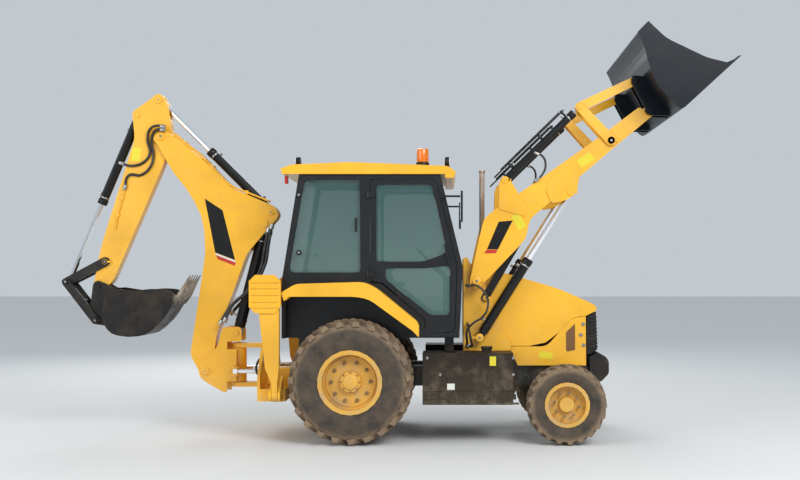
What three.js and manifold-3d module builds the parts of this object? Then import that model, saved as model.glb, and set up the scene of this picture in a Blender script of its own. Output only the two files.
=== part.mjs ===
// Backhoe loader: a wheeled tractor with a front loader and a rear digging arm.
// Units are millimetres. x runs forward from the rear axle, y to the machine's left, z up from the floor.
// The loader is raised with its bucket rolled back; the digging arm is folded for travel.
import * as THREE from "three";
import { mergeVertices } from "three/addons/utils/BufferGeometryUtils.js";
import Module from "manifold-3d";

const wasm = await Module();
wasm.setup();

// ---------- driving dimensions ----------
const GAP = 0.5; // between pieces that are bolted face to face
const RUNNING = 2.5; // radial play of a bore on its pin
const SIDE_PLAY = 5; // between plates that turn past each other

// wheels
const WHEELBASE = 2257;
const REAR = { radius: 657, width: 495, seat: 305, flange: 338, track: 1705 };
const FRONT = { radius: 421, width: 307, seat: 209, flange: 236, track: 1810 };
const KINGPIN_INSET = 105; // kingpin axis inboard of the front wheel's centre
const KINGPIN_R = 34;
const STUB_R = 55; // axle ends inside the wheel hubs

// chassis
const RAIL_Y = 330; // centre of each frame rail
const RAIL_W = 90;
const RAIL_Z = [560, 780];
const NOSE_X = WHEELBASE + 330;
const FRAME_TAIL_X = -1010; // rear face of the backhoe frame
const FRAME_TAIL_DEPTH = 170;
const FRAME_TAIL_HALF = 760;

// engine bay
const HOOD_HALF = 468;
const PANEL_T = 12;
const HOOD_TAIL_X = 1240;
const BAY_TAIL_X = HOOD_TAIL_X + 5;

// tank and battery box
const TANK = { x: [751, 1700], y: [515, 945], z: [415, 955], flange: 75 };

// cab
const CAB_HALF = 800; // outer face of the doors and posts
const CAB_SKIN = 45; // depth of the cab's posts and doors
const CAB_FLOOR_Z = 1120;
const ROOF_HALF = 830;
const GLASS_T = 8;

// loader
const ARM_Y = 610;
const ARM_HALF = 55;
const TOWER_Y = [484, 506]; // inner and outer face of each tower plate
const LEVEL_LINK_Y = [512, 534];
const EAR_T = 20;
const BUCKET_HALF = 1150;
const BUCKET_PLATE = 16;
const liftPivot = [1324, 1710];
const liftBase = [1356, 1102];
const liftEye = [2336, 2660];
const tiltBase = [1624, 2790];
const levelPivot = [1420, 1528];
const levelEye = [1813, 2199];
const leverPivot = [2760, 3211];
const leverTop = [2425, 3571];
const bucketPin = [3179, 3540];
const bucketLinkPin = [3021, 3854];
const PIN_R = 30;
const LIFT_BARREL_R = 52;
const TILT_BARREL_R = 41;

// digging arm
const SWING_X = -1340;
const SWING_PIN_R = 36;
const SWING_LUG_R = 88;
const upperLugZ = [960, 1010];
const lowerLugZ = [520, 570];
const boomFoot = [-1692, 700];
const boomCylBase = [-1351, 1125];
const boomCylEye = [-1040, 2350];
const dipperCylBase = [-968, 2474];
const boomTop = [-2196, 3326];
const dipperHead = [-2234, 3740];
const bucketCylBase = [-2470, 3566];
const hoeLeverPin = [-2828, 1922];
const hoePin = [-2905, 1649];
const hoeKnee = [-3261, 1697];
const hoeLinkPin = [-2928, 1265];
const BOOM_HALF = 112;
const DIPPER_HALF = 72;
const HOE_HALF = 280;
const BOOM_BARREL_R = 62;
const HOE_BARREL_R = 50;
const STAB_X = -800; // hinge of each stabilizer leg, along the machine
const STAB_Y = 900;
const STAB_Z = 500;
const STAB_LENGTH = 1100;

// ---------- solids ----------
// A closed three.js geometry as a manifold solid.
function solid(geometry) {
  const flat = geometry.index ? geometry.toNonIndexed() : geometry.clone();
  flat.deleteAttribute("normal");
  flat.deleteAttribute("uv");
  const merged = mergeVertices(flat, 1e-3);
  return new wasm.Manifold(
    new wasm.Mesh({
      numProp: 3,
      vertProperties: merged.attributes.position.array,
      triVerts: new Uint32Array(merged.index.array),
    }),
  );
}

const join = (...parts) => parts.flat().reduce((a, b) => a.add(b));
const cut = (base, ...tools) => tools.flat().reduce((a, b) => a.subtract(b), base);
const mirrored = (part) => part.mirror([0, 1, 0]);
const bothSides = (make) => [make(-1), make(1)];

function block([x0, x1], [y0, y1], [z0, z1]) {
  const g = new THREE.BoxGeometry(Math.abs(x1 - x0), Math.abs(y1 - y0), Math.abs(z1 - z0));
  return solid(g.translate((x0 + x1) / 2, (y0 + y1) / 2, (z0 + z1) / 2));
}

// A round bar from point p to point q.
function bar(p, q, radius, endRadius = radius, sides = 10) {
  const from = new THREE.Vector3(...p);
  const along = new THREE.Vector3(...q).sub(from);
  const g = new THREE.CylinderGeometry(endRadius, radius, along.length(), sides);
  g.translate(0, along.length() / 2, 0);
  const turn = new THREE.Quaternion().setFromUnitVectors(new THREE.Vector3(0, 1, 0), along.normalize());
  return solid(g.applyQuaternion(turn).translate(from.x, from.y, from.z));
}

// A round bar across the machine, through the point [x, z], from y0 to y1.
const crossBar = ([x, z], y0, y1, radius, sides = 10) => bar([x, y0, z], [x, y1, z], radius, radius, sides);

// A closed side outline in x and z. A corner [x, z, r] is rounded with radius r.
function sideShape(corners) {
  const shape = new THREE.Shape();
  corners.forEach((corner, i) => {
    const here = new THREE.Vector2(corner[0], corner[1]);
    const before = new THREE.Vector2(...corners[(i + corners.length - 1) % corners.length].slice(0, 2));
    const after = new THREE.Vector2(...corners[(i + 1) % corners.length].slice(0, 2));
    const longest = 0.48 * Math.min(before.distanceTo(here), after.distanceTo(here));
    const radius = Math.min(corner[2] || 0, longest);
    const start = before.clone().sub(here).setLength(radius).add(here);
    const end = after.clone().sub(here).setLength(radius).add(here);
    if (i === 0) shape.moveTo(start.x, start.y);
    else shape.lineTo(start.x, start.y);
    if (radius) shape.quadraticCurveTo(here.x, here.y, end.x, end.y);
  });
  return shape;
}

// A plate that lies in x and z, from y0 to y1.
function plate(corners, y0, y1, curveSegments = 2) {
  const depth = Math.abs(y1 - y0);
  const g = new THREE.ExtrudeGeometry(sideShape(corners), { depth, bevelEnabled: false, curveSegments });
  return solid(g.rotateX(Math.PI / 2).translate(0, Math.max(y0, y1), 0));
}

// A plate that lies in y and z, from x0 to x1; corners are [y, z].
function crossPlate(corners, x0, x1, curveSegments = 2) {
  const depth = Math.abs(x1 - x0);
  const g = new THREE.ExtrudeGeometry(sideShape(corners), { depth, bevelEnabled: false, curveSegments });
  return solid(g.rotateX(Math.PI / 2).rotateZ(Math.PI / 2).translate(Math.min(x0, x1), 0, 0));
}

// A flat bar with round ends about the points p and q.
function strap(p, q, rp, rq, y0, y1) {
  const middle = plate(strapSides(p, q, rp, rq), y0, y1);
  return join(middle, crossBar(p, y0, y1, rp), crossBar(q, y0, y1, rq));
}
function strapSides([px, pz], [qx, qz], rp, rq) {
  const length = Math.hypot(qx - px, qz - pz);
  const [nx, nz] = [-(qz - pz) / length, (qx - px) / length];
  return [
    [px + nx * rp, pz + nz * rp],
    [px - nx * rp, pz - nz * rp],
    [qx - nx * rq, qz - nz * rq],
    [qx + nx * rq, qz + nz * rq],
  ];
}

const between = ([px, pz], [qx, qz], share) => [px + (qx - px) * share, pz + (qz - pz) * share];
const distance = ([px, pz], [qx, qz]) => Math.hypot(qx - px, qz - pz);

// A turned solid about the y axis through [x, z]. The profile is [radius, y] and closes on itself or on the axis.
function turned(profile, [x, z], y, outward, segments = 22) {
  const points = profile.map(([r, a]) => new THREE.Vector2(r, a));
  if (profile[0][0] > 0) points.push(points[0].clone());
  const made = solid(new THREE.LatheGeometry(points, segments));
  const upright = made.volume() < 0 ? solid(new THREE.LatheGeometry(points.reverse(), segments)) : made;
  const facing = outward < 0 ? upright.mirror([0, 1, 0]) : upright;
  return facing.translate([x, y, z]);
}

// ---------- the part ----------
const part = new THREE.Group();
const steel = new THREE.MeshStandardMaterial({ color: 0xd9a520 });
const nodes = {};
function add(name, made) {
  nodes[name] = made;
}
const SIDE_NAME = { [-1]: "right", 1: "left" };
// The same solid on the right and on the left, named for its side; it is made on the left.
function addPair(name, made) {
  add(`${name}_left`, made);
  add(`${name}_right`, mirrored(made));
}

// ---------- chassis ----------
const rail = plate(
  [
    [FRAME_TAIL_X + 20, 560], [FRAME_TAIL_X + 20, 760], [-300, 760], [-200, 920], [250, 920], [350, RAIL_Z[1]],
    [NOSE_X - 30, RAIL_Z[1]], [NOSE_X - 30, 620], [2400, 560], [350, 560], [230, 750], [-180, 750], [-300, 560],
  ],
  RAIL_Y - RAIL_W / 2,
  RAIL_Y + RAIL_W / 2,
);
const towerPlate = plate(
  [
    [1185, 700], [1185, 1965, 20], [1225, 1965, 20], [1285, 1850, 60], [1405, 1790, 60], [1425, 1620, 40],
    [1490, 1500, 60], [1540, 1340], [1705, 1002, 40], [1560, 700, 40],
  ],
  ...TOWER_Y,
);
const towerPins = join(
  crossBar(liftPivot, TOWER_Y[0], ARM_Y + ARM_HALF + 8, PIN_R),
  crossBar(liftPivot, ARM_Y + ARM_HALF + 6, ARM_Y + ARM_HALF + 20, PIN_R + 16),
  crossBar(levelPivot, TOWER_Y[0], LEVEL_LINK_Y[1] + 2, 24),
  crossBar(liftBase, TOWER_Y[0], ARM_Y + 40, PIN_R),
  crossBar(liftBase, ARM_Y + 38, ARM_Y + 50, PIN_R + 14),
);
const tailOutline = [
  [-FRAME_TAIL_HALF, 430], [FRAME_TAIL_HALF, 430], [FRAME_TAIL_HALF, 700, 40], [420, 1090, 40], [-420, 1090, 40],
  [-FRAME_TAIL_HALF, 700, 40],
];
const tailPlate = crossPlate(tailOutline, FRAME_TAIL_X, FRAME_TAIL_X + 30);
const swingLug = ([z0, z1]) =>
  cut(
    join(
      block([SWING_X, FRAME_TAIL_X + 5], [-SWING_LUG_R, SWING_LUG_R], [z0, z1]),
      bar([SWING_X, 0, z0], [SWING_X, 0, z1], SWING_LUG_R, SWING_LUG_R, 20),
    ),
    bar([SWING_X, 0, z0 - 5], [SWING_X, 0, z1 + 5], SWING_PIN_R + RUNNING, SWING_PIN_R + RUNNING, 20),
  );
// Stabilizer hinge: two ears at each side of the tail, with the leg's eye between them.
const stabilizerEar = (x0) =>
  join(
    crossPlate([[700, 430], [STAB_Y - 20, 455], [STAB_Y + 40, 480, 20], [STAB_Y + 40, 540, 20], [700, 700]], x0, x0 + 25),
    bar([x0, STAB_Y, STAB_Z], [x0 + 25, STAB_Y, STAB_Z], 52, 52, 10),
  );
const SWING_CYL_Y = 230;
const SWING_CYL_Z = 707;
const swingBarrel = (side) =>
  cut(
    bar([FRAME_TAIL_X - 50, side * SWING_CYL_Y, SWING_CYL_Z], [-440, side * SWING_CYL_Y, SWING_CYL_Z], 55, 55, 10),
    bar([FRAME_TAIL_X - 55, side * SWING_CYL_Y, SWING_CYL_Z], [-460, side * SWING_CYL_Y, SWING_CYL_Z], 29, 29, 10),
  );
add(
  "chassis_frame",
  cut(
    join(
      rail,
      mirrored(rail),
      block([-960, -900], [-400, 400], [580, 740]),
      block([420, 540], [-330, 330], [600, 740]),
      block([1185, 1560], [-TOWER_Y[1], TOWER_Y[1]], [700, RAIL_Z[1] - 0.5]),
      block([NOSE_X - 60, NOSE_X - 28], [-375, 375], [600, RAIL_Z[1]]),
      block([WHEELBASE - 100, WHEELBASE + 100], [-330, 330], [485, 590]),
      ...bothSides((s) => block([-620, -520], [s * 285, s * 375], [700, 1094.5])),
      ...bothSides((s) => block([980, 1080], [s * 285, s * 375], [700, 1094.5])),
      ...[towerPlate, towerPins].flatMap((p) => [p, mirrored(p)]),
      block([1185, 1210], [-TOWER_Y[0] - 5, TOWER_Y[0] + 5], [760, 1090]),
      tailPlate,
      block([FRAME_TAIL_X + 10, STAB_X + 90], [-FRAME_TAIL_HALF, FRAME_TAIL_HALF], [430, 560]),
      ...[STAB_X - 60, STAB_X + 35].flatMap((x0) => [stabilizerEar(x0), mirrored(stabilizerEar(x0))]),
      ...bothSides((s) => bar([STAB_X - 60, s * STAB_Y, STAB_Z], [STAB_X + 60, s * STAB_Y, STAB_Z], 26, 26, 10)),
      ...bothSides((s) => block([STAB_X - 60, STAB_X + 60], [s * 700, s * 790], [430, 560])),
      swingLug(upperLugZ),
      swingLug(lowerLugZ),
    ),
    ...bothSides((s) =>
      bar([-1100, s * SWING_CYL_Y, SWING_CYL_Z], [-460, s * SWING_CYL_Y, SWING_CYL_Z], 29, 29, 10),
    ),
  ).add(join(...bothSides(swingBarrel))),
);

// The engine is one plain block on the rails.
add("engine_block", block([1500, 2320], [-290, 290], [RAIL_Z[1] + GAP, 1480]));

// ---------- engine bay ----------
const HOOD_X = 1445; // rear edge of the part that lifts
const hoodTop = (x) => (x < 1667 ? 1893 - ((x - 1144) / 523) * 106 : 1787 - ((x - 1667) / 563) * 165);
const hoodShell = cut(
  plate(
    [
      [HOOD_X, 1001], [HOOD_X, hoodTop(HOOD_X)], [1667, 1787, 60], [2230, 1622, 120], [2618, 1447, 30],
      [2637, 1389], [2521, 1331], [2366, 1311, 60], [2094, 1001, 300],
    ],
    -HOOD_HALF,
    HOOD_HALF,
  ),
  plate(
    [
      [HOOD_X - 10, 900], [HOOD_X - 10, hoodTop(HOOD_X) - 14], [1664, 1774, 60], [2225, 1609, 120],
      [2606, 1438, 30], [2612, 1380], [2612, 900],
    ],
    -HOOD_HALF + PANEL_T,
    HOOD_HALF - PANEL_T,
  ),
);
add("hood", hoodShell);
const cowl = cut(
  plate(
    [[BAY_TAIL_X, 790], [BAY_TAIL_X, hoodTop(BAY_TAIL_X)], [HOOD_X - 5, hoodTop(HOOD_X - 5)], [HOOD_X - 5, 790]],
    -HOOD_HALF,
    HOOD_HALF,
  ),
  block([BAY_TAIL_X + PANEL_T, HOOD_X + 5], [-HOOD_HALF + PANEL_T, HOOD_HALF - PANEL_T], [700, 1800]),
);
const lowerPanel = plate(
  [[HOOD_X - 30, 790], [HOOD_X - 30, 996], [2091, 996, 60], [2363, 1306, 60], [2515, 1325], [2519, 790]],
  HOOD_HALF - PANEL_T,
  HOOD_HALF,
);
add(
  "engine_cowl",
  join(cowl, lowerPanel, mirrored(lowerPanel), block([2470, 2486], [-HOOD_HALF + 2, HOOD_HALF - 2], [795, 1290])),
);
const grille = cut(
  plate([[2524, 1318], [2627, 1371], [2640, 962], [2560, 912], [2524, 912]], -HOOD_HALF, HOOD_HALF),
  ...[0, 1, 2, 3, 4, 5].map((i) => block([2606, 2700], [-390, 390], [985 + i * 60, 1021 + i * 60])),
);
add("front_grille", grille);
add(
  "front_bumper",
  plate(
    [
      [NOSE_X - 27.5, 880], [2645, 935], [2738, 882, 20], [2768, 834, 20], [2768, 700, 20], [2680, 610, 20],
      [NOSE_X - 27.5, 610],
    ],
    -HOOD_HALF,
    HOOD_HALF,
  ),
);
add(
  "exhaust_stack",
  cut(
    join(
      bar([1391, -300, hoodTop(1391) + 12], [1391, -300, 2100], 52, 52, 10),
      bar([1391, -300, 2090], [1391, -300, 2922], 30, 30, 10),
      block([1345, 1432], [-355, -245], [hoodTop(1391) + 10, hoodTop(1391) + 24]),
    ),
    bar([1391, -300, 2700], [1391, -300, 2930], 25, 25, 10),
  ),
);

// ---------- tank and battery box, hung on the frame at each side ----------
const sideBox = join(
  block(TANK.x, TANK.y, TANK.z),
  plate([[TANK.x[0], 955], [TANK.x[1], 955], [TANK.x[1] + 70, 800], [TANK.x[1] + 70, 560], [TANK.x[1], 415]], 515, 540),
  block([900, 1100], [376, 520], [620, 740]),
  block([751, 1014], [915, 955], [440, 470]),
);
add("fuel_tank", mirrored(join(sideBox, bar([1430, 700, 950], [1430, 700, 985], 55, 55, 10))));
add("battery_box", cut(sideBox, block([1010, 1018], [935, 960], [410, 960])));

// ---------- cab ----------
const cabSide = cut(
  plate(
    [
      [-561, 2840], [-745, 1700], [-745, 1560], [58, 1560, 60], [205, 1530, 60], [650, 1190, 60], [700, CAB_FLOOR_Z],
      [1137, CAB_FLOOR_Z, 20], [1146, 1246], [1175, 1855], [936, 2840],
    ],
    CAB_HALF - CAB_SKIN,
    CAB_HALF,
  ),
  plate([[-505, 2785, 30], [82, 2785, 30], [92, 1800, 40], [-672, 1800, 60]], CAB_HALF - 60, CAB_HALF + 10),
  plate(
    [[190, 2790, 30], [893, 2790, 40], [1118, 1860, 20], [1092, 1160, 60], [770, 1160, 60], [770, 1300], [300, 1690, 60], [190, 1690]],
    CAB_HALF - 60,
    CAB_HALF + 10,
  ),
);
const wheelhouse = join(
  plate(
    [
      [-745, 1560], [58, 1560], [197, 1530], [640, 1190], [640, CAB_FLOOR_Z], [665, CAB_FLOOR_Z], [665, 1212],
      [205, 1554], [60, 1582], [-745, 1582],
    ],
    560,
    CAB_HALF - 20,
  ),
  plate([[-745, CAB_FLOOR_Z], [-745, 1570], [58, 1570], [200, 1535], [650, 1195], [650, CAB_FLOOR_Z]], 555, 580),
);
const mirrorArm = join(
  block([973, 997], [CAB_HALF - 30, 905], [2588, 2612]),
  block([973, 1165], [881, 905], [2590, 2610]),
  block([1150, 1172], [850, 1010], [2330, 2650]),
);
const pedestal = (x0, x1, z1) => block([x0, x1], [-150, 150], [CAB_FLOOR_Z + 20, z1]);
const steeringWheel = solid(new THREE.TorusGeometry(190, 16, 6, 10).rotateY(Math.PI / 2 - 0.75).translate(800, 0, 1930));
add(
  "cab_frame",
  join(
    cabSide,
    mirrored(cabSide),
    wheelhouse,
    mirrored(wheelhouse),
    mirrorArm,
    mirrored(mirrorArm),
    block([-745, 1140], [-575, 575], [CAB_FLOOR_Z - 25, CAB_FLOOR_Z + 25]),
    block([660, 1140], [-CAB_HALF + 10, CAB_HALF - 10], [CAB_FLOOR_Z, CAB_FLOOR_Z + 25]),
    plate([[-745, 1100], [-745, 1700], [-735, 1762], [-700, 1762], [-712, 1100]], -CAB_HALF + 5, CAB_HALF - 5),
    plate([[1118, 1130], [1160, 1860], [1135, 1860], [1093, 1130]], -CAB_HALF + 5, CAB_HALF - 5),
    block([890, 928], [-CAB_HALF + 5, CAB_HALF - 5], [2800, 2836]),
    block([-545, -505], [-CAB_HALF + 5, CAB_HALF - 5], [2800, 2836]),
    pedestal(960, 1130, 1760),
    bar([1040, 0, 1700], [800, 0, 1930], 32, 28, 10),
    bar([800, -190, 1930], [800, 190, 1930], 12, 12, 10),
    steeringWheel,
    block([900, 925], [-300, -220], [1135, 1240]),
  ),
);
add(
  "cab_roof",
  join(
    plate(
      [
        [-735, 2840.5], [-752, 2896], [-640, 2939, 30], [-15, 2967, 60], [1019, 2925, 30], [1104, 2861, 20],
        [1078, 2800, 10], [985, 2800, 10], [985, 2840.5],
      ],
      -ROOF_HALF,
      ROOF_HALF,
    ),
    bar([740, -420, 2925], [740, -420, 3010], 52, 52, 10),
    bar([740, -420, 3005], [740, -420, 3150], 44, 38, 10),
  ),
);
const glassSide = join(
  plate([[-536, 2790], [120, 2790], [120, 1775], [-699, 1775]], CAB_HALF - 60, CAB_HALF - 60 + GLASS_T),
  plate([[0, 2790], [931, 2790], [940, 2755], [0, 2755]], CAB_HALF - 60, CAB_HALF - 60 + GLASS_T),
);
const GLASS_HALF = CAB_HALF - 60 + GLASS_T;
add(
  "cab_glazing",
  join(
    glassSide,
    mirrored(glassSide),
    plate([[935, 2796], [925, 2796], [1150, 1870], [1160, 1870]], -GLASS_HALF + 2, GLASS_HALF - 2),
    plate([[-530, 2796], [-540, 2796], [-706, 1765], [-696, 1765]], -GLASS_HALF + 2, GLASS_HALF - 2),
  ),
);
const fender = join(
  plate(
    [
      [-722, 1590, 20], [-569, 1680, 40], [141, 1701, 60], [267, 1640, 60], [712, 1275, 40], [712, 1125],
      [650, 1190], [197, 1519, 60], [58, 1547, 60], [-640, 1547], [-690, 1500],
    ],
    CAB_HALF + GAP,
    1000,
  ),
);
const fenderShell = join(
  cut(
    fender,
    plate(
      [[-760, 1480], [-640, 1575], [-560, 1662, 40], [135, 1683, 60], [252, 1626, 60], [735, 1230], [735, 1000], [-760, 1000]],
      CAB_HALF + GAP + 12,
      985,
    ),
  ),
);
addPair("fender", fenderShell);
const seat = join(
  block([150, 560], [-230, 230], [CAB_FLOOR_Z + 25 + GAP, 1400]),
  plate([[120, 1390], [120, 1500, 30], [640, 1530, 40], [640, 1400, 30]], -260, 260),
  plate([[110, 1440], [20, 2080, 50], [130, 2090, 50], [230, 1490, 30]], -245, 245),
  ...bothSides((s) => block([150, 520], [s * 262, s * 320], [1640, 1700])),
  ...bothSides((s) => block([150, 190], [s * 235, s * 320], [1480, 1700])),
);
add("seat", seat);

// ---------- doors ----------
const DOOR_HINGE = [172, CAB_HALF + 22]; // x and y of each door's vertical hinge line
const doorOutline = [
  [196, 2784, 26], [889, 2784, 36], [1111, 1860, 20], [1086, 1167, 56], [777, 1167, 56], [777, 1302], [303, 1712, 56],
  [196, 1712],
];
const door = cut(
  plate(doorOutline, CAB_HALF - 40, CAB_HALF),
  plate([[255, 2735, 40], [850, 2735, 60], [1012, 2010, 60], [760, 1915, 60], [255, 1915, 40]], CAB_HALF - 60, CAB_HALF + 9),
  plate([[350, 1735, 40], [830, 1345, 60], [1040, 1345, 60], [1040, 1880, 60], [780, 1850, 60], [350, 1850, 40]], CAB_HALF - 60, CAB_HALF + 9),
);
const doorHinge = (z) =>
  join(
    bar([DOOR_HINGE[0], DOOR_HINGE[1], z - 30], [DOOR_HINGE[0], DOOR_HINGE[1], z + 30], 12, 12, 8),
    block([202, 240], [CAB_HALF - 5, DOOR_HINGE[1] + 4], [z - 28, z + 28]),
    block([DOOR_HINGE[0], 210], [CAB_HALF + 6, DOOR_HINGE[1] + 4], [z - 28, z + 28]),
  );
const doorHandle = join(
  bar([1030, CAB_HALF - 6, 1905], [1030, CAB_HALF + 45, 1905], 10, 10, 10),
  bar([985, CAB_HALF - 6, 2085], [985, CAB_HALF + 45, 2085], 10, 10, 10),
  bar([1033, CAB_HALF + 45, 1893], [982, CAB_HALF + 45, 2097], 12, 12, 10),
);
addPair("door", join(door, doorHinge(2620), doorHinge(1780), doorHandle));

// ---------- wheels and axles ----------
const rimOf = (w, half, discY, hubR, back) => [
  [0, discY + 70], [hubR - 12, discY + 70], [hubR, discY + 14], [w.seat - 12, discY + 14], [w.seat - 12, half + 10],
  [w.flange, half + 10], [w.flange, half], [w.seat, half - 6], [w.seat, -half + 6], [w.flange, -half],
  [w.flange, -half - 10], [w.seat - 12, -half - 10], [w.seat - 12, discY], [hubR, discY], [hubR, discY - back],
  [STUB_R + RUNNING, discY - back], [STUB_R + RUNNING, discY + 50], [0, discY + 50],
];
const tyreOf = (w, half) => [
  [w.seat + 1.5, half - 8], [w.seat + 1.5, -half + 8], [w.flange - 4, -half + 3], [w.flange + 40, -w.width / 2 + 14],
  [(w.flange + w.radius) / 2, -w.width / 2], [w.radius - 45, -w.width / 2 + 12], [w.radius - 6, -w.width / 2 + 45],
  [w.radius, -w.width / 4], [w.radius, w.width / 4], [w.radius - 6, w.width / 2 - 45], [w.radius - 45, w.width / 2 - 12],
  [(w.flange + w.radius) / 2, w.width / 2], [w.flange + 40, w.width / 2 - 14], [w.flange - 4, half - 3],
];
const REAR_HALF = 205;
const FRONT_HALF = 118;
const rearHub = [0, REAR.radius];
const frontHub = [WHEELBASE, FRONT.radius];
for (const side of [-1, 1]) {
  const s = SIDE_NAME[side];
  add(`rear_rim_${s}`, turned(rimOf(REAR, REAR_HALF, 60, 120, 60), rearHub, (side * REAR.track) / 2, side));
  add(`rear_tyre_${s}`, turned(tyreOf(REAR, REAR_HALF), rearHub, (side * REAR.track) / 2, side));
  add(`front_rim_${s}`, turned(rimOf(FRONT, FRONT_HALF, 10, 88, 48), frontHub, (side * FRONT.track) / 2, side));
  add(`front_tyre_${s}`, turned(tyreOf(FRONT, FRONT_HALF), frontHub, (side * FRONT.track) / 2, side));
}
add(
  "rear_axle",
  join(
    bar([0, -590, REAR.radius], [0, 590, REAR.radius], 84, 84, 20),
    crossBar(rearHub, -REAR.track / 2 - 105, REAR.track / 2 + 105, STUB_R),
    bar([0, -190, REAR.radius], [0, 190, REAR.radius], 180, 180, 20),
    block([-60, 380], [-110, 110], [560, 740]),
    ...bothSides((s) => block([-110, 110], [s * (RAIL_Y - 45), s * (RAIL_Y + 45)], [640, 749.5])),
  ),
);
const KINGPIN_Y = FRONT.track / 2 - KINGPIN_INSET;
const axleEnd = join(
  block([WHEELBASE - 55, WHEELBASE + 55], [600, KINGPIN_Y - 110], [335, 507]),
  block([WHEELBASE - 20, WHEELBASE + 20], [600, KINGPIN_Y - 68], [335, 507]),
  ...[[335, 370], [472, 507]].map(([z0, z1]) =>
    join(
      block([WHEELBASE - 55, WHEELBASE + 55], [KINGPIN_Y - 115, KINGPIN_Y], [z0, z1]),
      bar([WHEELBASE, KINGPIN_Y, z0], [WHEELBASE, KINGPIN_Y, z1], 55, 55, 10),
    ),
  ),
  bar([WHEELBASE, KINGPIN_Y, 330], [WHEELBASE, KINGPIN_Y, 512], KINGPIN_R, KINGPIN_R, 10),
);
add(
  "front_axle",
  join(
    block([WHEELBASE - 60, WHEELBASE + 60], [-640, 640], [361, 470]),
    block([WHEELBASE - 90, WHEELBASE + 90], [-150, 150], [361, 484.5]),
    axleEnd,
    mirrored(axleEnd),
  ),
);
const knuckle = cut(
  join(
    bar([WHEELBASE, KINGPIN_Y, 378], [WHEELBASE, KINGPIN_Y, 464], 55, 55, 10),
    crossBar(frontHub, KINGPIN_Y, FRONT.track / 2, 40),
    crossBar(frontHub, KINGPIN_Y + 68, FRONT.track / 2 + 55, STUB_R),
    bar([WHEELBASE, KINGPIN_Y, 421], [WHEELBASE - 170, KINGPIN_Y - 25, 421], 24, 18, 10),
  ),
  bar([WHEELBASE, KINGPIN_Y, 370], [WHEELBASE, KINGPIN_Y, 472], KINGPIN_R + RUNNING, KINGPIN_R + RUNNING, 10),
);
addPair("steering_knuckle", knuckle);

// ---------- hydraulic cylinders ----------
// The barrel from its base pin towards the rod's eye; its eye turns on a pin, and its bore is open at the gland.
function barrel(base, eye, y, length, radius, pinR, eyeHalf) {
  const end = between(base, eye, length / distance(base, eye));
  const start = between(base, eye, (pinR + 34) / distance(base, eye));
  const bottom = between(base, eye, (pinR + 62) / distance(base, eye));
  const past = between(base, eye, (length + 5) / distance(base, eye));
  const neck = between(base, eye, (length - 60) / distance(base, eye));
  const at = ([x, z]) => [x, y, z];
  const rodR = radius * 0.56;
  return cut(
    join(
      crossBar(base, y - eyeHalf, y + eyeHalf, pinR + 20),
      strap(base, start, pinR + 16, pinR + 4, y - eyeHalf, y + eyeHalf),
      bar(at(start), at(end), radius, radius, 12),
      bar(at(neck), at(end), radius + 5, radius + 5, 10),
    ),
    crossBar(base, y - eyeHalf - 5, y + eyeHalf + 5, pinR + RUNNING),
    bar(at(bottom), at(past), rodR + 3, rodR + 3, 10),
  );
}
// The rod back from its eye into the barrel; its eye sits between ears and has a bore for their pin.
function rod(base, eye, y, length, radius, pinR, eyeHalf) {
  const inner = between(eye, base, length / distance(base, eye));
  const at = ([x, z]) => [x, y, z];
  const rodR = radius * 0.56;
  return cut(
    join(bar(at(inner), at(eye), rodR, rodR, 10), crossBar(eye, y - eyeHalf, y + eyeHalf, pinR + 18)),
    crossBar(eye, y - eyeHalf - 5, y + eyeHalf + 5, pinR + RUNNING),
  );
}

// ---------- loader ----------
const IN = ARM_Y - ARM_HALF;
const OUT = ARM_Y + ARM_HALF;
const armSide = join(
  plate(
    [
      [1252, 1719], [1401, 2381, 60], [1564, 2505, 60], [1778, 2646, 60], [2641, 3252, 100], [3062, 3571, 20],
      [3215, 3486], [2785, 3129, 120], [1891, 2369, 60], [1852, 2160, 60], [1507, 1796, 60], [1372, 1655],
    ],
    IN,
    OUT,
  ),
  crossBar(liftPivot, IN, OUT, 74),
  crossBar(bucketPin, IN, OUT, 62),
);
const tiltBracket = plate(
  [[1560, 2480], [1565, 2760, 30], [1600, 2830, 20], [1650, 2830, 20], [1690, 2780, 20], [1860, 2500], [1840, 2400]],
  0,
  1,
);
const bracketAt = (y0, y1) => tiltBracket.scale([1, Math.abs(y1 - y0), 1]).translate([0, Math.min(y0, y1), 0]);
const liftDoubler = (y0, y1) =>
  plate(
    [
      [2064, 2686], [2126, 2829], [2331, 2911], [2433, 2901], [2392, 2650, 40], [2336, 2606, 40], [2249, 2563, 30],
      [2126, 2542, 30],
    ],
    y0,
    y1,
  );
const armBore = (p, r) => crossBar(p, IN - 30, OUT + 30, r + RUNNING);
const arm = cut(
  join(
    armSide,
    bracketAt(IN - 10, IN + 8),
    bracketAt(OUT - 8, OUT + 10),
    liftDoubler(IN - 12, IN + 10),
    liftDoubler(OUT - 10, OUT + 12),
    crossBar(tiltBase, IN - 10, OUT + 10, 25),
    crossBar(tiltBase, OUT + 8, OUT + 20, 38),
    crossBar([2336, 2660], OUT + 8, OUT + 22, 40),
  ),
  armBore(liftPivot, PIN_R),
  armBore(leverPivot, PIN_R),
  armBore(bucketPin, PIN_R),
  // the space the tilt cylinder works in, between its bracket's ears
  plate(
    [[1500, 2700], [1560, 2900], [1800, 3000], [1860, 2730], [1775, 2665], [1566, 2530]],
    IN + 8,
    OUT - 8,
  ),
);
const crossTube = crossBar([2540, 3080], -IN - 5, IN + 5, 68, 14);
add("loader_arms", join(arm, mirrored(arm), crossTube));

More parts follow.
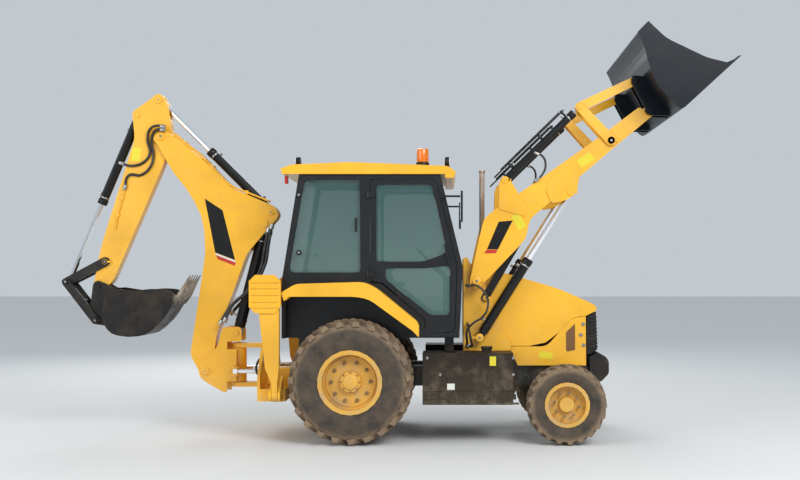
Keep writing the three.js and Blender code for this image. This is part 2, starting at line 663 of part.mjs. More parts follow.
const lever = (y0, y1) =>
  join(strap(leverPivot, leverTop, 56, 46, y0, y1));
const tiltLever = join(
  lever(IN - 32, IN - 12),
  lever(OUT + 12, OUT + 32),
  crossBar(leverTop, OUT - 27, OUT + 44, 28),
  crossBar(leverPivot, OUT + 30, OUT + 42, 44),
);
add(
  "tilt_levers",
  join(tiltLever, mirrored(tiltLever), crossBar(leverPivot, -OUT - 20, OUT + 20, PIN_R)),
);
const tiltLink = cut(
  strap(leverTop, bucketLinkPin, 50, 46, OUT - 25, OUT + 1),
  crossBar(leverTop, OUT - 40, OUT + 20, 28 + RUNNING),
  crossBar(bucketLinkPin, OUT - 40, OUT + 20, 28 + RUNNING),
);
addPair("tilt_link", tiltLink);
addPair("tilt_barrel", barrel(tiltBase, leverTop, ARM_Y, 1035, TILT_BARREL_R, 25, 28));
addPair("tilt_rod", rod(tiltBase, leverTop, ARM_Y, 750, TILT_BARREL_R, 26, 16));
addPair("lift_barrel", barrel(liftBase, liftEye, ARM_Y, 990, LIFT_BARREL_R, PIN_R, 34));
addPair("lift_rod", rod(liftBase, liftEye, ARM_Y, 1008, LIFT_BARREL_R, PIN_R, 30));
addPair(
  "levelling_link",
  cut(
    strap(levelPivot, levelEye, 42, 40, ...LEVEL_LINK_Y),
    crossBar(levelPivot, LEVEL_LINK_Y[0] - 5, LEVEL_LINK_Y[1] + 5, 24 + RUNNING),
    crossBar(levelEye, LEVEL_LINK_Y[0] - 5, LEVEL_LINK_Y[1] + 5, 14),
  ),
);

const bucketWall = [[2964, 4270, 10], [3038, 4120, 60], [3088, 3897, 120], [3188, 3697, 100], [3412, 3461, 60], [4015, 4015]];
const bucketInside = [
  [2987, 4270, 10], [3054, 4124, 60], [3104, 3902, 110], [3201, 3707, 90], [3413, 3484, 50], [4005, 4027], [4150, 4250],
  [3300, 4650], [3050, 4420],
];
const bucketMouth = [[3884, 3959], [3679, 4008, 60], [3262, 4208, 60], [3076, 4384]];
const bucketEar = (y0, y1) =>
  join(
    plate(
      [[2972, 3830, 10], [2985, 3905, 20], [3092, 3897], [3190, 3702], [3405, 3470], [3190, 3478], [3118, 3560]],
      y0,
      y1,
    ),
    crossBar(bucketPin, y0, y1, 62),
    crossBar(bucketLinkPin, y0, y1, 48),
  );
const loaderEars = join(
  bucketEar(IN - 32, IN - 12),
  bucketEar(OUT + 12, OUT + 32),
  crossBar(bucketPin, IN - 40, OUT + 44, PIN_R),
  crossBar(bucketPin, OUT + 30, OUT + 42, 44),
  crossBar(bucketLinkPin, OUT + 30, OUT + 42, 38),
);
add(
  "loader_bucket",
  join(
    cut(
      plate([...bucketWall, ...bucketMouth], -BUCKET_HALF, BUCKET_HALF),
      plate(bucketInside, -BUCKET_HALF + BUCKET_PLATE, BUCKET_HALF - BUCKET_PLATE),
    ),
    plate([[3868, 3880], [4030, 4028], [4008, 4030], [3856, 3893]], -BUCKET_HALF, BUCKET_HALF),
    loaderEars,
    mirrored(loaderEars),
  ),
);

// ---------- digging arm ----------
const POST_IN = BOOM_HALF + 6;
const POST_OUT = POST_IN + 30;
const post = plate(
  [
    [-1775, 700, 60], [-1745, 800, 40], [-1560, 960, 60], [-1500, 1195, 40], [-1290, 1195, 40], [-1290, 1030, 20],
    [-1450, 1030], [-1450, 945], [-1345, 945], [-1345, 585], [-1450, 585], [-1450, 455, 30], [-1520, 480, 40],
    [-1740, 610, 60],
  ],
  POST_IN,
  POST_OUT,
);
const swingEar = (z0, z1, side) =>
  join(
    block([SWING_X - 45, SWING_X + 45], [0, side * SWING_CYL_Y], [z0, z1]),
    bar([SWING_X, side * SWING_CYL_Y, z0], [SWING_X, side * SWING_CYL_Y, z1], 45, 45, 10),
  );
add(
  "swing_post",
  join(
      post,
      mirrored(post),
      bar([SWING_X, 0, lowerLugZ[0] - 6], [SWING_X, 0, upperLugZ[1] + 6], SWING_PIN_R, SWING_PIN_R, 14),
      bar([SWING_X, 0, lowerLugZ[1] + 6], [SWING_X, 0, upperLugZ[0] - 6], 84, 84, 14),
      block([-1450, SWING_X], [-84, 84], [590, 940]),
      block([-1490, -1440], [-POST_IN - 5, POST_IN + 5], [600, 930]),
      ...[-1, 1].flatMap((s) => [swingEar(738, 756, s), swingEar(658, 676, s)]),
      crossBar(boomFoot, -POST_OUT - 20, POST_OUT + 20, 34),
      crossBar(boomCylBase, -POST_OUT - 16, POST_OUT + 16, 32),
  ),
);
const swingRod = cut(
  join(
    bar([SWING_X, SWING_CYL_Y, SWING_CYL_Z], [SWING_X + 610, SWING_CYL_Y, SWING_CYL_Z], 26, 26, 10),
    bar([SWING_X, SWING_CYL_Y, SWING_CYL_Z - 26], [SWING_X, SWING_CYL_Y, SWING_CYL_Z + 26], 36, 36, 10),
  ),
  bar([SWING_X, SWING_CYL_Y, SWING_CYL_Z - 40], [SWING_X, SWING_CYL_Y, SWING_CYL_Z + 40], 18, 18, 10),
);
addPair("swing_rod", swingRod);

const boomSide = join(
  plate(
    [
      [-2262, 3285], [-2062, 2921, 80], [-1918, 2748, 60], [-1726, 2440, 200], [-1697, 2034, 100], [-1793, 1380],
      [-1870, 880, 60], [-1765, 690], [-1622, 690], [-1577, 1101, 60], [-1377, 1614, 60], [-1235, 2012, 60],
      [-869, 2446, 60], [-930, 2545, 60], [-1409, 2748, 60], [-1736, 3075], [-2140, 3400],
    ],
    -BOOM_HALF,
    BOOM_HALF,
  ),
  crossBar(boomTop, -BOOM_HALF, BOOM_HALF, 90, 20),
  crossBar(boomFoot, -BOOM_HALF, BOOM_HALF, 76, 14),
);
add(
  "boom",
  join(
    cut(
      boomSide,
      block([-1275, -800], [-68, 68], [2050, 2900]),
      block([-2400, -1860], [-80, 80], [2700, 3600]),
      crossBar(boomFoot, -POST_OUT, POST_OUT, 34 + RUNNING),
    ),
    crossBar(boomTop, -BOOM_HALF - 18, BOOM_HALF + 18, 36),
    crossBar(dipperCylBase, -BOOM_HALF - 16, BOOM_HALF + 16, 30),
    ...bothSides((s) => crossBar(boomCylEye, s * (BOOM_HALF - 10), s * (BOOM_HALF + 16), 44)),
  ),
);
const boomBarrelEnd = 1140;
add("boom_barrel", barrel(boomCylBase, boomCylEye, 0, boomBarrelEnd, BOOM_BARREL_R, 32, 58));
add("boom_rod", rod(boomCylBase, boomCylEye, 0, 1150, BOOM_BARREL_R, 28, 40));
add("dipper_barrel", barrel(dipperCylBase, dipperHead, 0, 989, HOE_BARREL_R, 30, 58));
add("dipper_rod", rod(dipperCylBase, dipperHead, 0, 1040, HOE_BARREL_R, 28, 38));

const dipperSide = join(
  plate(
    [
      [-2244, 3808, 40], [-2535, 3600, 60], [-2520, 3500, 40], [-2501, 3308, 60], [-2857, 2164, 60], [-2905, 1976, 60],
      [-2962, 1660], [-2860, 1610], [-2750, 1690, 60], [-2164, 3048, 100], [-2087, 3385, 100], [-2130, 3712, 60],
    ],
    -DIPPER_HALF,
    DIPPER_HALF,
  ),
  crossBar(dipperHead, -DIPPER_HALF, DIPPER_HALF, 66, 14),
  crossBar(hoePin, -DIPPER_HALF, DIPPER_HALF, 60, 14),
  crossBar(boomTop, -DIPPER_HALF, DIPPER_HALF, 105, 20),
);
add(
  "dipper",
  join(
    cut(
      dipperSide,
      block([-2345, -2000], [-48, 48], [3530, 3900]),
      block([-2650, -2400], [-60, 60], [3260, 3760]),
      crossBar(boomTop, -DIPPER_HALF - 5, DIPPER_HALF + 5, 36 + RUNNING),
      crossBar(hoePin, -DIPPER_HALF - 5, DIPPER_HALF + 5, 30 + RUNNING),
      crossBar(hoeLeverPin, -DIPPER_HALF - 5, DIPPER_HALF + 5, 26 + RUNNING),
    ),
    crossBar(bucketCylBase, -DIPPER_HALF - 14, DIPPER_HALF + 14, 28),
    ...bothSides((s) => crossBar(dipperHead, s * (DIPPER_HALF - 10), s * (DIPPER_HALF + 14), 40)),
  ),
);
add("bucket_barrel", barrel(bucketCylBase, hoeKnee, 0, 1077, HOE_BARREL_R, 28, 50));
add("bucket_rod", rod(bucketCylBase, hoeKnee, 0, 1125, HOE_BARREL_R, 26, 40));
const leverSide = DIPPER_HALF + 6;
const hoeLever = join(
  strap(hoeLeverPin, hoeKnee, 52, 46, leverSide, leverSide + 20),
  crossBar(hoeKnee, leverSide, leverSide + 54, 26),
);
add(
  "hoe_lever",
  join(hoeLever, mirrored(hoeLever), crossBar(hoeLeverPin, -leverSide - 34, leverSide + 34, 26)),
);
const linkSide = leverSide + 26;
const hoeLink = cut(
  strap(hoeKnee, hoeLinkPin, 44, 44, linkSide, linkSide + 20),
  crossBar(hoeKnee, linkSide - 5, linkSide + 25, 26 + RUNNING),
  crossBar(hoeLinkPin, linkSide - 5, linkSide + 25, 14),
);
add(
  "hoe_link",
  join(hoeLink, mirrored(hoeLink), crossBar(between(hoeKnee, hoeLinkPin, 0.5), -linkSide - 5, linkSide + 5, 28)),
);
const hoeWall = [
  [-2706, 1632], [-2800, 1500, 80], [-2810, 1250, 80], [-2706, 1119, 60], [-2516, 1081, 100], [-2308, 1110, 80],
  [-2118, 1290, 60], [-1966, 1537],
];
const hoeInside = [
  [-2700, 1660], [-2694, 1632], [-2784, 1498, 70], [-2794, 1256, 70], [-2698, 1134, 50], [-2514, 1098, 90],
  [-2316, 1126, 70], [-2132, 1300, 50], [-1972, 1560], [-1990, 1760], [-2700, 1760],
];
const hoeMouth = [[-2099, 1613, 40], [-2270, 1622, 60], [-2460, 1594, 60]];
const hoeTooth = (y) =>
  plate([[-2010, 1440], [-1940, 1530], [-1833, 1774], [-1925, 1640], [-2005, 1520]], y - 24, y + 24);
const hoeEar = join(
  plate(
    [
      [-2965, 1649], [-2985, 1480, 60], [-2972, 1265], [-2930, 1221], [-2800, 1200], [-2700, 1130], [-2780, 1300],
      [-2790, 1500], [-2712, 1622], [-2850, 1690],
    ],
    leverSide,
    leverSide + 20,
  ),
  crossBar(hoePin, leverSide, leverSide + 20, 60),
  crossBar(hoeLinkPin, leverSide, leverSide + 20, 44),
);
add(
  "hoe_bucket",
  join(
    cut(
      plate([...hoeWall, ...hoeMouth], -HOE_HALF, HOE_HALF),
      plate(hoeInside, -HOE_HALF + 14, HOE_HALF - 14),
    ),
    ...[-2, -1, 0, 1, 2].map((i) => hoeTooth(i * 125)),
    hoeEar,
    mirrored(hoeEar),
    crossBar(hoePin, -leverSide - 34, leverSide + 34, 30),
  ),
);

// ---------- stabilizers ----------
const STAB_TOP = STAB_Z + STAB_LENGTH;
const LEG_X = [-952, -742]; // rear and front of the boxed leg above its hinge
const legSide = [
  [STAB_Y - 36, STAB_Z], [STAB_Y + 36, STAB_Z], [STAB_Y + 110, 1380, 60], [STAB_Y + 110, 1640], [STAB_Y + 40, 1640],
  [STAB_Y + 40, 1400, 60],
];
const legFront = plate(
  [
    [STAB_X - 30, STAB_Z], [STAB_X + 30, STAB_Z], [STAB_X + 30, 640], [LEG_X[1] - 8, 790], [LEG_X[1], 1200],
    [LEG_X[1], 1640], [LEG_X[0], 1640], [LEG_X[0], 1400], [LEG_X[0] + 60, 790], [STAB_X - 30, 640],
  ],
  STAB_Y - 60,
  STAB_Y + 140,
);
const padOutline = [
  [-1050, 1440], [-985, 1375], [-785, 1375], [-720, 1440], [-720, 1710], [-785, 1775], [-985, 1775], [-1050, 1710],
];
const stabilizer = cut(
  join(
    bar([STAB_X - 30, STAB_Y, STAB_Z], [STAB_X + 30, STAB_Y, STAB_Z], 50, 50, 14),
    crossPlate(legSide, LEG_X[0] - 5, LEG_X[1] + 5).intersect(legFront),
    plate(padOutline, STAB_Y + 108, STAB_Y + 130),
    block([-1015, -755], [STAB_Y + 60, STAB_Y + 115], [1560, 1600]),
  ),
  bar([STAB_X - 40, STAB_Y, STAB_Z], [STAB_X + 40, STAB_Y, STAB_Z], 26 + RUNNING, 26 + RUNNING, 10),
);
addPair("stabilizer", stabilizer);

// ---------- assembly, with the floor under the middle of the machine ----------
const SLIVER = 0.02; // faces thinner than this are merged with their neighbours
for (const [name, made] of Object.entries(nodes)) {
  const m = made.simplify(SLIVER).getMesh();
  const g = new THREE.BufferGeometry();
  const positions = new Float32Array(m.numVert * 3);
  for (let i = 0; i < m.numVert; i++) {
    positions.set(m.vertProperties.subarray(i * m.numProp, i * m.numProp + 3), i * 3);
  }
  g.setAttribute("position", new THREE.BufferAttribute(positions, 3));
  g.setIndex(new THREE.BufferAttribute(m.triVerts, 1));
  const mesh = new THREE.Mesh(g, steel);
  mesh.name = name;
  part.add(mesh);
}
const span = new THREE.Box3().setFromObject(part);
const shift = -(span.min.x + span.max.x) / 2;
for (const mesh of part.children) {
  mesh.geometry.translate(shift, 0, 0);
}
part.userData = { shift, height: span.max.z };

export default part;
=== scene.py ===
# %% [markdown]
# # A backhoe loader
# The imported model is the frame: every plate, pin and wheel already has its true place and size.
# This lesson adds what the eye looks for: lugged tyres, hoses, pin caps, glass, stripes and the paint itself.
# Lengths are in metres. x runs forward, y to the machine's left and z up from the floor.

import math

import bpy
from mathutils import Matrix, Vector


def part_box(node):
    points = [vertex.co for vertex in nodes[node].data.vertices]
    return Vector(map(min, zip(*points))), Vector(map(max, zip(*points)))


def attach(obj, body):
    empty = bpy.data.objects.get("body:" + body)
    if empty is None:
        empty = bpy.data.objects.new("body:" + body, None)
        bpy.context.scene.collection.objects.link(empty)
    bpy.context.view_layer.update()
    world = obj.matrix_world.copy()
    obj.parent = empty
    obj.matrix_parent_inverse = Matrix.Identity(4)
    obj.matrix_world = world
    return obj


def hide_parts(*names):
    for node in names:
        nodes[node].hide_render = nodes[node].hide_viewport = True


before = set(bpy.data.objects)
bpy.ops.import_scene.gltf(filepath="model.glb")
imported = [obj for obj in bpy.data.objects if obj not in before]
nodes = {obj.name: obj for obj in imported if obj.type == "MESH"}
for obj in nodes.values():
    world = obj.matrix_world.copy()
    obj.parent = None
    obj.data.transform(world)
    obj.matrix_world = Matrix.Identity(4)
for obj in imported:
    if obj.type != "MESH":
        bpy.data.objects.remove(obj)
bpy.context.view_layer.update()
REAR_AXLE_X = sum(c.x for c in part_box("rear_tyre_right")) / 2
print("rear axle at x", round(REAR_AXLE_X, 4))


def at(x, y, z):
    """A point given in millimetres from the rear axle, the centreline and the floor."""
    return Vector((x / 1000 + REAR_AXLE_X, y / 1000, z / 1000))


# %% [markdown]
# ## Camera and light
# The camera stands at head height, far out on the machine's right side, and looks square across it.
# A long side view like this keeps the wheels round. The shift slides the frame, and doesn't turn the camera.

# %% Camera, light and floor
scene = bpy.context.scene
CAMERA_SPOT = (1028, -12700, 1773)
bpy.ops.object.camera_add(location=at(*CAMERA_SPOT), rotation=(math.radians(90), 0, 0))
camera = bpy.context.object
camera.name = "camera"
camera.data.lens = 50.6
camera.data.sensor_width = 36
camera.data.shift_x = -0.06125
camera.data.shift_y = 0.04375
scene.camera = camera
scene.view_settings.view_transform = "Standard"


def lamp(name, spot, target, size, power):
    """A square area lamp that faces a target."""
    bpy.ops.object.light_add(type="AREA", location=spot)
    made = bpy.context.object
    made.name = name
    made.data.size = size
    made.data.energy = power
    made.rotation_euler = (Vector(target) - Vector(spot)).to_track_quat("-Z", "Y").to_euler()


lamp("key_light", (6, -11, 9), (0, 0, 1.6), 6, 1150)
lamp("fill_light", (-9, -9, 5), (0, 0, 1.6), 7, 420)
lamp("back_light", (-3, 10, 8), (0, 0, 2), 6, 420)
world = scene.world or bpy.data.worlds.new("sky")
scene.world = world
world.use_nodes = True
world.node_tree.nodes["Background"].inputs[0].default_value = (0.86, 0.93, 1, 1)
world.node_tree.nodes["Background"].inputs[1].default_value = 0.62
bpy.ops.mesh.primitive_plane_add(size=160, location=(0, 0, -0.002))
floor = bpy.context.object
floor.name = "floor"

# %% [markdown]
# ## Writing materials as sums
# A finish is a stack of masks: noise for dust, height for mud, a band for a stripe.
# Wrapping a socket in a small class lets a mask be written as ordinary arithmetic, which adds the Math nodes.


# %% A socket that can be added, multiplied and compared
class Wire:
    def __init__(self, finish, socket):
        self.finish = finish
        self.socket = socket

    def _math(self, operation, *values):
        return self.finish.node("ShaderNodeMath", {"operation": operation}, *values)

    def __add__(self, other):
        return self._math("ADD", self, other)

    def __radd__(self, other):
        return self._math("ADD", other, self)

    def __sub__(self, other):
        return self._math("SUBTRACT", self, other)

    def __rsub__(self, other):
        return self._math("SUBTRACT", other, self)

    def __mul__(self, other):
        return self._math("MULTIPLY", self, other)

    def __rmul__(self, other):
        return self._math("MULTIPLY", other, self)

    def __gt__(self, other):
        return self._math("GREATER_THAN", self, other)

    def __lt__(self, other):
        return self._math("LESS_THAN", self, other)

    def held(self):
        """The same value kept between 0 and 1."""
        return self.finish.node("ShaderNodeClamp", {}, self, 0, 1)

    def step(self, low, high):
        """0 below low, 1 above high, and smooth between."""
        settings = {"interpolation_type": "SMOOTHSTEP"}
        return self.finish.node("ShaderNodeMapRange", settings, self, low, high, 0.0, 1.0)


# %% A finish: one material and the nodes that make it
class Finish:
    def __init__(self, name, roughness=0.5, metallic=0.0):
        self.material = bpy.data.materials.new(name)
        self.material.use_nodes = True
        self.tree = self.material.node_tree
        self.shader = self.tree.nodes["Principled BSDF"]
        self.shader.inputs["Roughness"].default_value = roughness
        self.shader.inputs["Metallic"].default_value = metallic
        self.place = self.node("ShaderNodeTexCoord", {}, output="Object")
        x_y_z = self.tree.nodes.new("ShaderNodeSeparateXYZ")
        self.tree.links.new(self.place.socket, x_y_z.inputs[0])
        self.x, self.y, self.z = (Wire(self, o) for o in x_y_z.outputs)

    def node(self, kind, settings, *values, output=0, **named):
        made = self.tree.nodes.new(kind)
        for key, value in settings.items():
            setattr(made, key, value)
        for place, value in list(enumerate(values)) + list(named.items()):
            socket = made.inputs[place]
            if isinstance(value, Wire):
                self.tree.links.new(value.socket, socket)
            elif value is not None:
                socket.default_value = value
        return Wire(self, made.outputs[output])

    def noise(self, scale, detail=4.0, rough=0.55):
        return self.node("ShaderNodeTexNoise", {}, self.place, Scale=scale, Detail=detail, Roughness=rough)

    def mix(self, share, a, b):
        """A colour share of the way from a to b."""
        made = self.tree.nodes.new("ShaderNodeMix")
        made.data_type = "RGBA"
        for socket, value in zip((made.inputs[0], made.inputs[6], made.inputs[7]), (share, a, b)):
            if isinstance(value, Wire):
                self.tree.links.new(value.socket, socket)
            else:
                socket.default_value = value
        return Wire(self, made.outputs[2])

    def set(self, **sockets):
        """Feed the shader's sockets, each named with _ for its spaces, and give back the material."""
        for name, value in sockets.items():
            socket = self.shader.inputs[name.replace("_", " ")]
            if isinstance(value, Wire):
                self.tree.links.new(value.socket, socket)
            else:
                socket.default_value = value
        return self.material

    def bump(self, height, strength=0.3, distance=0.002):
        """A normal that stands up where height is high."""
        sizes = {"Strength": strength, "Distance": distance}
        return self.node("ShaderNodeBump", {}, Height=height, output="Normal", **sizes)


# %% [markdown]
# ## Paint, rubber, steel and glass
# Machine paint is glossy where it is clean and matt where dust has settled, which is low down and in streaks.
# Every paint is one recipe: a base colour, a slightly different patch colour, and dust by height.

# %% The painted finishes
DUST = (0.42, 0.33, 0.22, 1)


def paint(name, colour, dust=0.35, gloss=0.32, coat=0.25, dust_top=1.1, shine=0.5):
    f = Finish(name, gloss)
    f.shader.inputs["Specular IOR Level"].default_value = shine
    patches = f.noise(1.7, 5).step(0.35, 0.7)
    shade = f.mix(patches, (*colour, 1), (*(c * 0.82 for c in colour), 1))
    fine = f.noise(38, 6, 0.7)
    low = 1 - f.z.step(0.1, dust_top)
    streak = f.noise(6, 8, 0.68).step(0.45, 0.75)
    amount = (streak * (0.25 + low * 0.9) * dust + low * dust * 0.35).held()
    rough = gloss + amount * 0.5 + (fine - 0.5) * 0.08
    return f.set(
        Base_Color=f.mix(amount, shade, DUST), Roughness=rough.held(), Coat_Weight=coat, Coat_Roughness=0.12,
        Normal=f.bump(fine + streak * 0.4, 0.12, 0.001),
    )


YELLOW = (0.92, 0.47, 0.018)
yellow = paint("warm_yellow_paint", YELLOW)
rim_yellow = paint("wheel_yellow_paint", (0.80, 0.42, 0.03), dust=0.6, gloss=0.45, coat=0.1, dust_top=1.6)
black = paint("chassis_black_paint", (0.010, 0.0095, 0.009), dust=0.3, gloss=0.42, coat=0.05, shine=0.25)
loader_paint = paint(
    "loader_bucket_paint", (0.006, 0.009, 0.014),
    dust=0.06, gloss=0.34, coat=0.0, dust_top=0.5, shine=0.15,
)
brown_black = paint("tank_brown_black", (0.020, 0.014, 0.010), dust=0.35, gloss=0.5, coat=0.0, shine=0.2)
charcoal = paint("cab_charcoal", (0.011, 0.012, 0.014), dust=0.08, gloss=0.35, coat=0.1, shine=0.3)
gloss_black = paint("panel_black", (0.005, 0.005, 0.005), dust=0.08, gloss=0.3, coat=0.05, shine=0.3)
white_stripe = paint("stripe_white", (0.75, 0.73, 0.7), dust=0.1)
red_stripe = paint("stripe_red", (0.55, 0.03, 0.015), dust=0.1)
lamp_orange = paint("beacon_orange", (0.9, 0.22, 0.01), dust=0.05, gloss=0.15, coat=0.6)
lamp_red = paint("lamp_red", (0.5, 0.02, 0.01), dust=0.05, gloss=0.2)
TOOTH_ROOT_X, TOOTH_TIP_X = -2040, -1960  # millimetres: the bare steel of the teeth starts and is full here
hoe_steel = Finish("digging_bucket_paint", 0.5)
hoe_steel.shader.inputs["Specular IOR Level"].default_value = 0.25
mud = hoe_steel.noise(5, 8, 0.65).step(0.42, 0.72)
front_edge = hoe_steel.x.step(at(TOOTH_ROOT_X, 0, 0).x, at(TOOTH_TIP_X, 0, 0).x)
worn = (front_edge * hoe_steel.noise(14, 6, 0.7).step(0.3, 0.6)).held()
hoe_base = hoe_steel.mix((mud * 0.35).held(), (0.012, 0.010, 0.009, 1), (0.10, 0.07, 0.045, 1))
hoe_steel.set(
    Base_Color=hoe_steel.mix(worn, hoe_base, (0.34, 0.29, 0.22, 1)), Metallic=(worn * 0.4).held(),
    Roughness=(0.42 + mud * 0.3).held(), Normal=hoe_steel.bump(mud, 0.15, 0.002),
)
print("painted finishes made")

# %% Chrome rods, pipe steel, exhaust and engine iron
chrome = Finish("chrome_rod", 0.09, 1.0)
chrome.set(
    Base_Color=chrome.mix(chrome.noise(5).step(0.5, 0.8), (0.85, 0.86, 0.88, 1), (0.62, 0.62, 0.62, 1)),
    Roughness=(0.07 + chrome.noise(40, 3) * 0.08),
)
tube_steel = Finish("pipe_steel", 0.3, 0.9)
tube_steel.set(Base_Color=tube_steel.mix(tube_steel.noise(9), (0.5, 0.5, 0.5, 1), (0.33, 0.31, 0.29, 1)))
hot_steel = Finish("exhaust_steel", 0.32, 0.85)
heat = hot_steel.noise(2.5, 5).step(0.3, 0.7)
hot_steel.set(
    Base_Color=hot_steel.mix(heat, (0.34, 0.25, 0.18, 1), (0.5, 0.45, 0.4, 1)),
    Roughness=(0.25 + hot_steel.noise(30) * 0.2),
)
iron = Finish("engine_iron", 0.7, 0.3)
iron.set(
    Base_Color=iron.mix(iron.noise(6), (0.05, 0.05, 0.05, 1), (0.11, 0.1, 0.09, 1)),
    Normal=iron.bump(iron.noise(60, 6), 0.4, 0.002),
)

# %% Tyre rubber with dust in its low places
def tyre_rubber(name, hub, tread):
    """Grey sidewalls and a tread caked in dry earth, told apart by the distance from the axle in metres."""
    f = Finish(name, 0.85)
    f.shader.inputs["Specular IOR Level"].default_value = 0.3
    axle = at(hub[0], 0, hub[1])
    across, up = f.x - axle.x, f.z - axle.z
    reach = f.node("ShaderNodeMath", {"operation": "SQRT"}, across * across + up * up)
    earth = f.noise(5.5, 8, 0.65).step(0.25, 0.65)
    outer = reach.step(tread - 0.05, tread + 0.01)
    amount = (outer * (0.45 + earth * 0.5) + (1 - outer) * earth * 0.3).held()
    return f.set(
        Base_Color=f.mix(amount, (0.03, 0.029, 0.028, 1), (0.27, 0.19, 0.12, 1)),
        Roughness=(0.72 + earth * 0.2).held(), Normal=f.bump(f.noise(90, 4) + earth, 0.3, 0.002),
    )


REAR_HUB, FRONT_HUB = (0, 657), (2257, 421)
rear_rubber = tyre_rubber("dusty_rubber_rear", REAR_HUB, 0.575)
front_rubber = tyre_rubber("dusty_rubber_front", FRONT_HUB, 0.37)
hose_rubber = Finish("hose_rubber", 0.5)
hose_rubber.set(
    Base_Color=hose_rubber.mix(
        hose_rubber.noise(7).step(0.4, 0.8), (0.012, 0.012, 0.012, 1), (0.06, 0.05, 0.04, 1),
    ),
    Normal=hose_rubber.bump(hose_rubber.noise(140, 2), 0.2, 0.001),
)

# %% Tinted glass, mirror and seat cloth
glass = Finish("tinted_glass", 0.04)
glass.set(
    Base_Color=glass.mix((1 - glass.z.step(1.6, 2.8)).held(), (0.05, 0.13, 0.12, 1), (0.10, 0.2, 0.17, 1)),
    Alpha=0.5, Coat_Weight=1.0, Coat_Roughness=0.02, Roughness=(0.03 + glass.noise(3) * 0.05),
)
mirror_glass = Finish("mirror_glass", 0.03, 1.0)
mirror_glass.set(
    Base_Color=mirror_glass.mix(mirror_glass.noise(4), (0.7, 0.75, 0.78, 1), (0.6, 0.64, 0.67, 1)),
)
cloth = Finish("seat_cloth", 0.85)
weave = {"Scale": 160, "Distortion": 0.6}
thread = cloth.node("ShaderNodeTexWave", {"wave_type": "BANDS"}, cloth.place, **weave)
cross = cloth.node(
    "ShaderNodeTexWave", {"wave_type": "BANDS", "bands_direction": "Y"}, cloth.place, **weave,
)
cloth.set(
    Base_Color=cloth.mix(thread * cross, (0.02, 0.02, 0.022, 1), (0.07, 0.07, 0.075, 1)),
    Sheen_Weight=0.3, Normal=cloth.bump(thread + cross, 0.4, 0.001),
)
ground = Finish("pale_floor", 0.9)
ground.set(Base_Color=ground.mix(ground.noise(0.6), (0.74, 0.74, 0.73, 1), (0.78, 0.78, 0.77, 1)))
floor.data.materials.append(ground.material)
print(len(bpy.data.materials), "materials")

# %% Give each steel part its finish
FINISH_OF = {
    "hood": yellow, "engine_cowl": yellow, "loader_arms": yellow, "boom": yellow, "dipper": yellow,
    "fender_right": yellow, "fender_left": yellow, "cab_roof": yellow, "swing_post": yellow,
    "stabilizer_right": yellow, "stabilizer_left": yellow, "hoe_lever": black, "hoe_link": black,
    "tilt_levers": yellow, "tilt_link": yellow, "levelling_link": black, "barrel": gloss_black,
    "boom_barrel": gloss_black, "dipper_barrel": gloss_black, "boom_rod": chrome.material,
    "dipper_rod": chrome.material, "rod": chrome.material, "rim": rim_yellow, "tyre": rear_rubber,
    "glazing": glass.material,
    "cab_frame": charcoal, "door": charcoal, "seat": cloth.material, "exhaust": hot_steel.material,
    "engine_block": iron.material, "loader_bucket": loader_paint, "hoe_bucket": hoe_steel.material,
    "fuel_tank": brown_black, "battery_box": brown_black, "front_axle": black, "rear_axle": black,
    "steering_knuckle": black, "front_grille": black, "front_bumper": black, "chassis_frame": black,
}
for name, node in nodes.items():
    key = max((k for k in FINISH_OF if k in name), key=len)
    node.data.materials.clear()
    node.data.materials.append(FINISH_OF[key])
print(len(nodes), "steel parts painted")

# %% The chassis is black below and yellow at the loader towers and the tail plate
TOWER_BACK_X, TAIL_FRONT_X, TOWER_FOOT_Z = 1150, -620, 0.79
tower_coat = Finish("chassis_and_tower_paint", 0.4)
tower_dust = tower_coat.noise(6, 8, 0.68).step(0.4, 0.8)
is_tower = (tower_coat.x > at(TOWER_BACK_X, 0, 0).x) * (tower_coat.z > TOWER_FOOT_Z)
is_tower = is_tower + (tower_coat.x < at(TAIL_FRONT_X, 0, 0).x)
tower_base = tower_coat.mix(is_tower, (0.010, 0.0095, 0.009, 1), (*YELLOW, 1))
tower_coat.set(
    Base_Color=tower_coat.mix((tower_dust * 0.4).held(), tower_base, DUST),
    Roughness=(0.35 + tower_dust * 0.4).held(), Coat_Weight=0.15,
)
nodes["chassis_frame"].data.materials[0] = tower_coat.material

# %% [markdown]
# ## Tools for shaping
# Every new piece starts as a primitive at its size and place, and is shaped with edit-mode operators.
# Its origin then goes to the frame's origin, so that patterns and joints read it in the machine's own place.


# %% Start, finish and join a piece
def start_clean():
    """Leave edit mode and select nothing."""
    if bpy.context.object and bpy.context.object.mode != "OBJECT":
        bpy.ops.object.mode_set(mode="OBJECT")
    bpy.ops.object.select_all(action="DESELECT")


def rest(piece, finish):
    """Apply the piece's modifiers and place, and give it its finish."""
    start_clean()
    piece.select_set(True)
    bpy.context.view_layer.objects.active = piece
    for modifier in list(piece.modifiers):
        bpy.ops.object.modifier_apply(modifier=modifier.name)
    bpy.ops.object.transform_apply(location=True, rotation=True, scale=True)
    piece.data.materials.clear()
    piece.data.materials.append(finish)
    return piece


def joined(name, pieces):
    """Make one piece of several."""
    start_clean()
    for piece in pieces:
        piece.select_set(True)
    bpy.context.view_layer.objects.active = pieces[0]
    if len(pieces) > 1:
        bpy.ops.object.join()
    whole = bpy.context.object
    whole.name = name
    whole.data.name = name
    return whole


def soften(piece, width, segments=2):
    """Round the sharp edges with a bevel, which rest() applies."""
    bevel = piece.modifiers.new("edge", "BEVEL")
    bevel.width, bevel.segments, bevel.limit_method = width, segments, "ANGLE"


def copy_of(piece, matrix):
    """A copy with its own mesh, moved by a matrix."""
    twin = piece.copy()
    twin.data = piece.data.copy()
    scene.collection.objects.link(twin)
    twin.data.transform(matrix)
    if matrix.determinant() < 0:
        twin.data.flip_normals()
    return twin


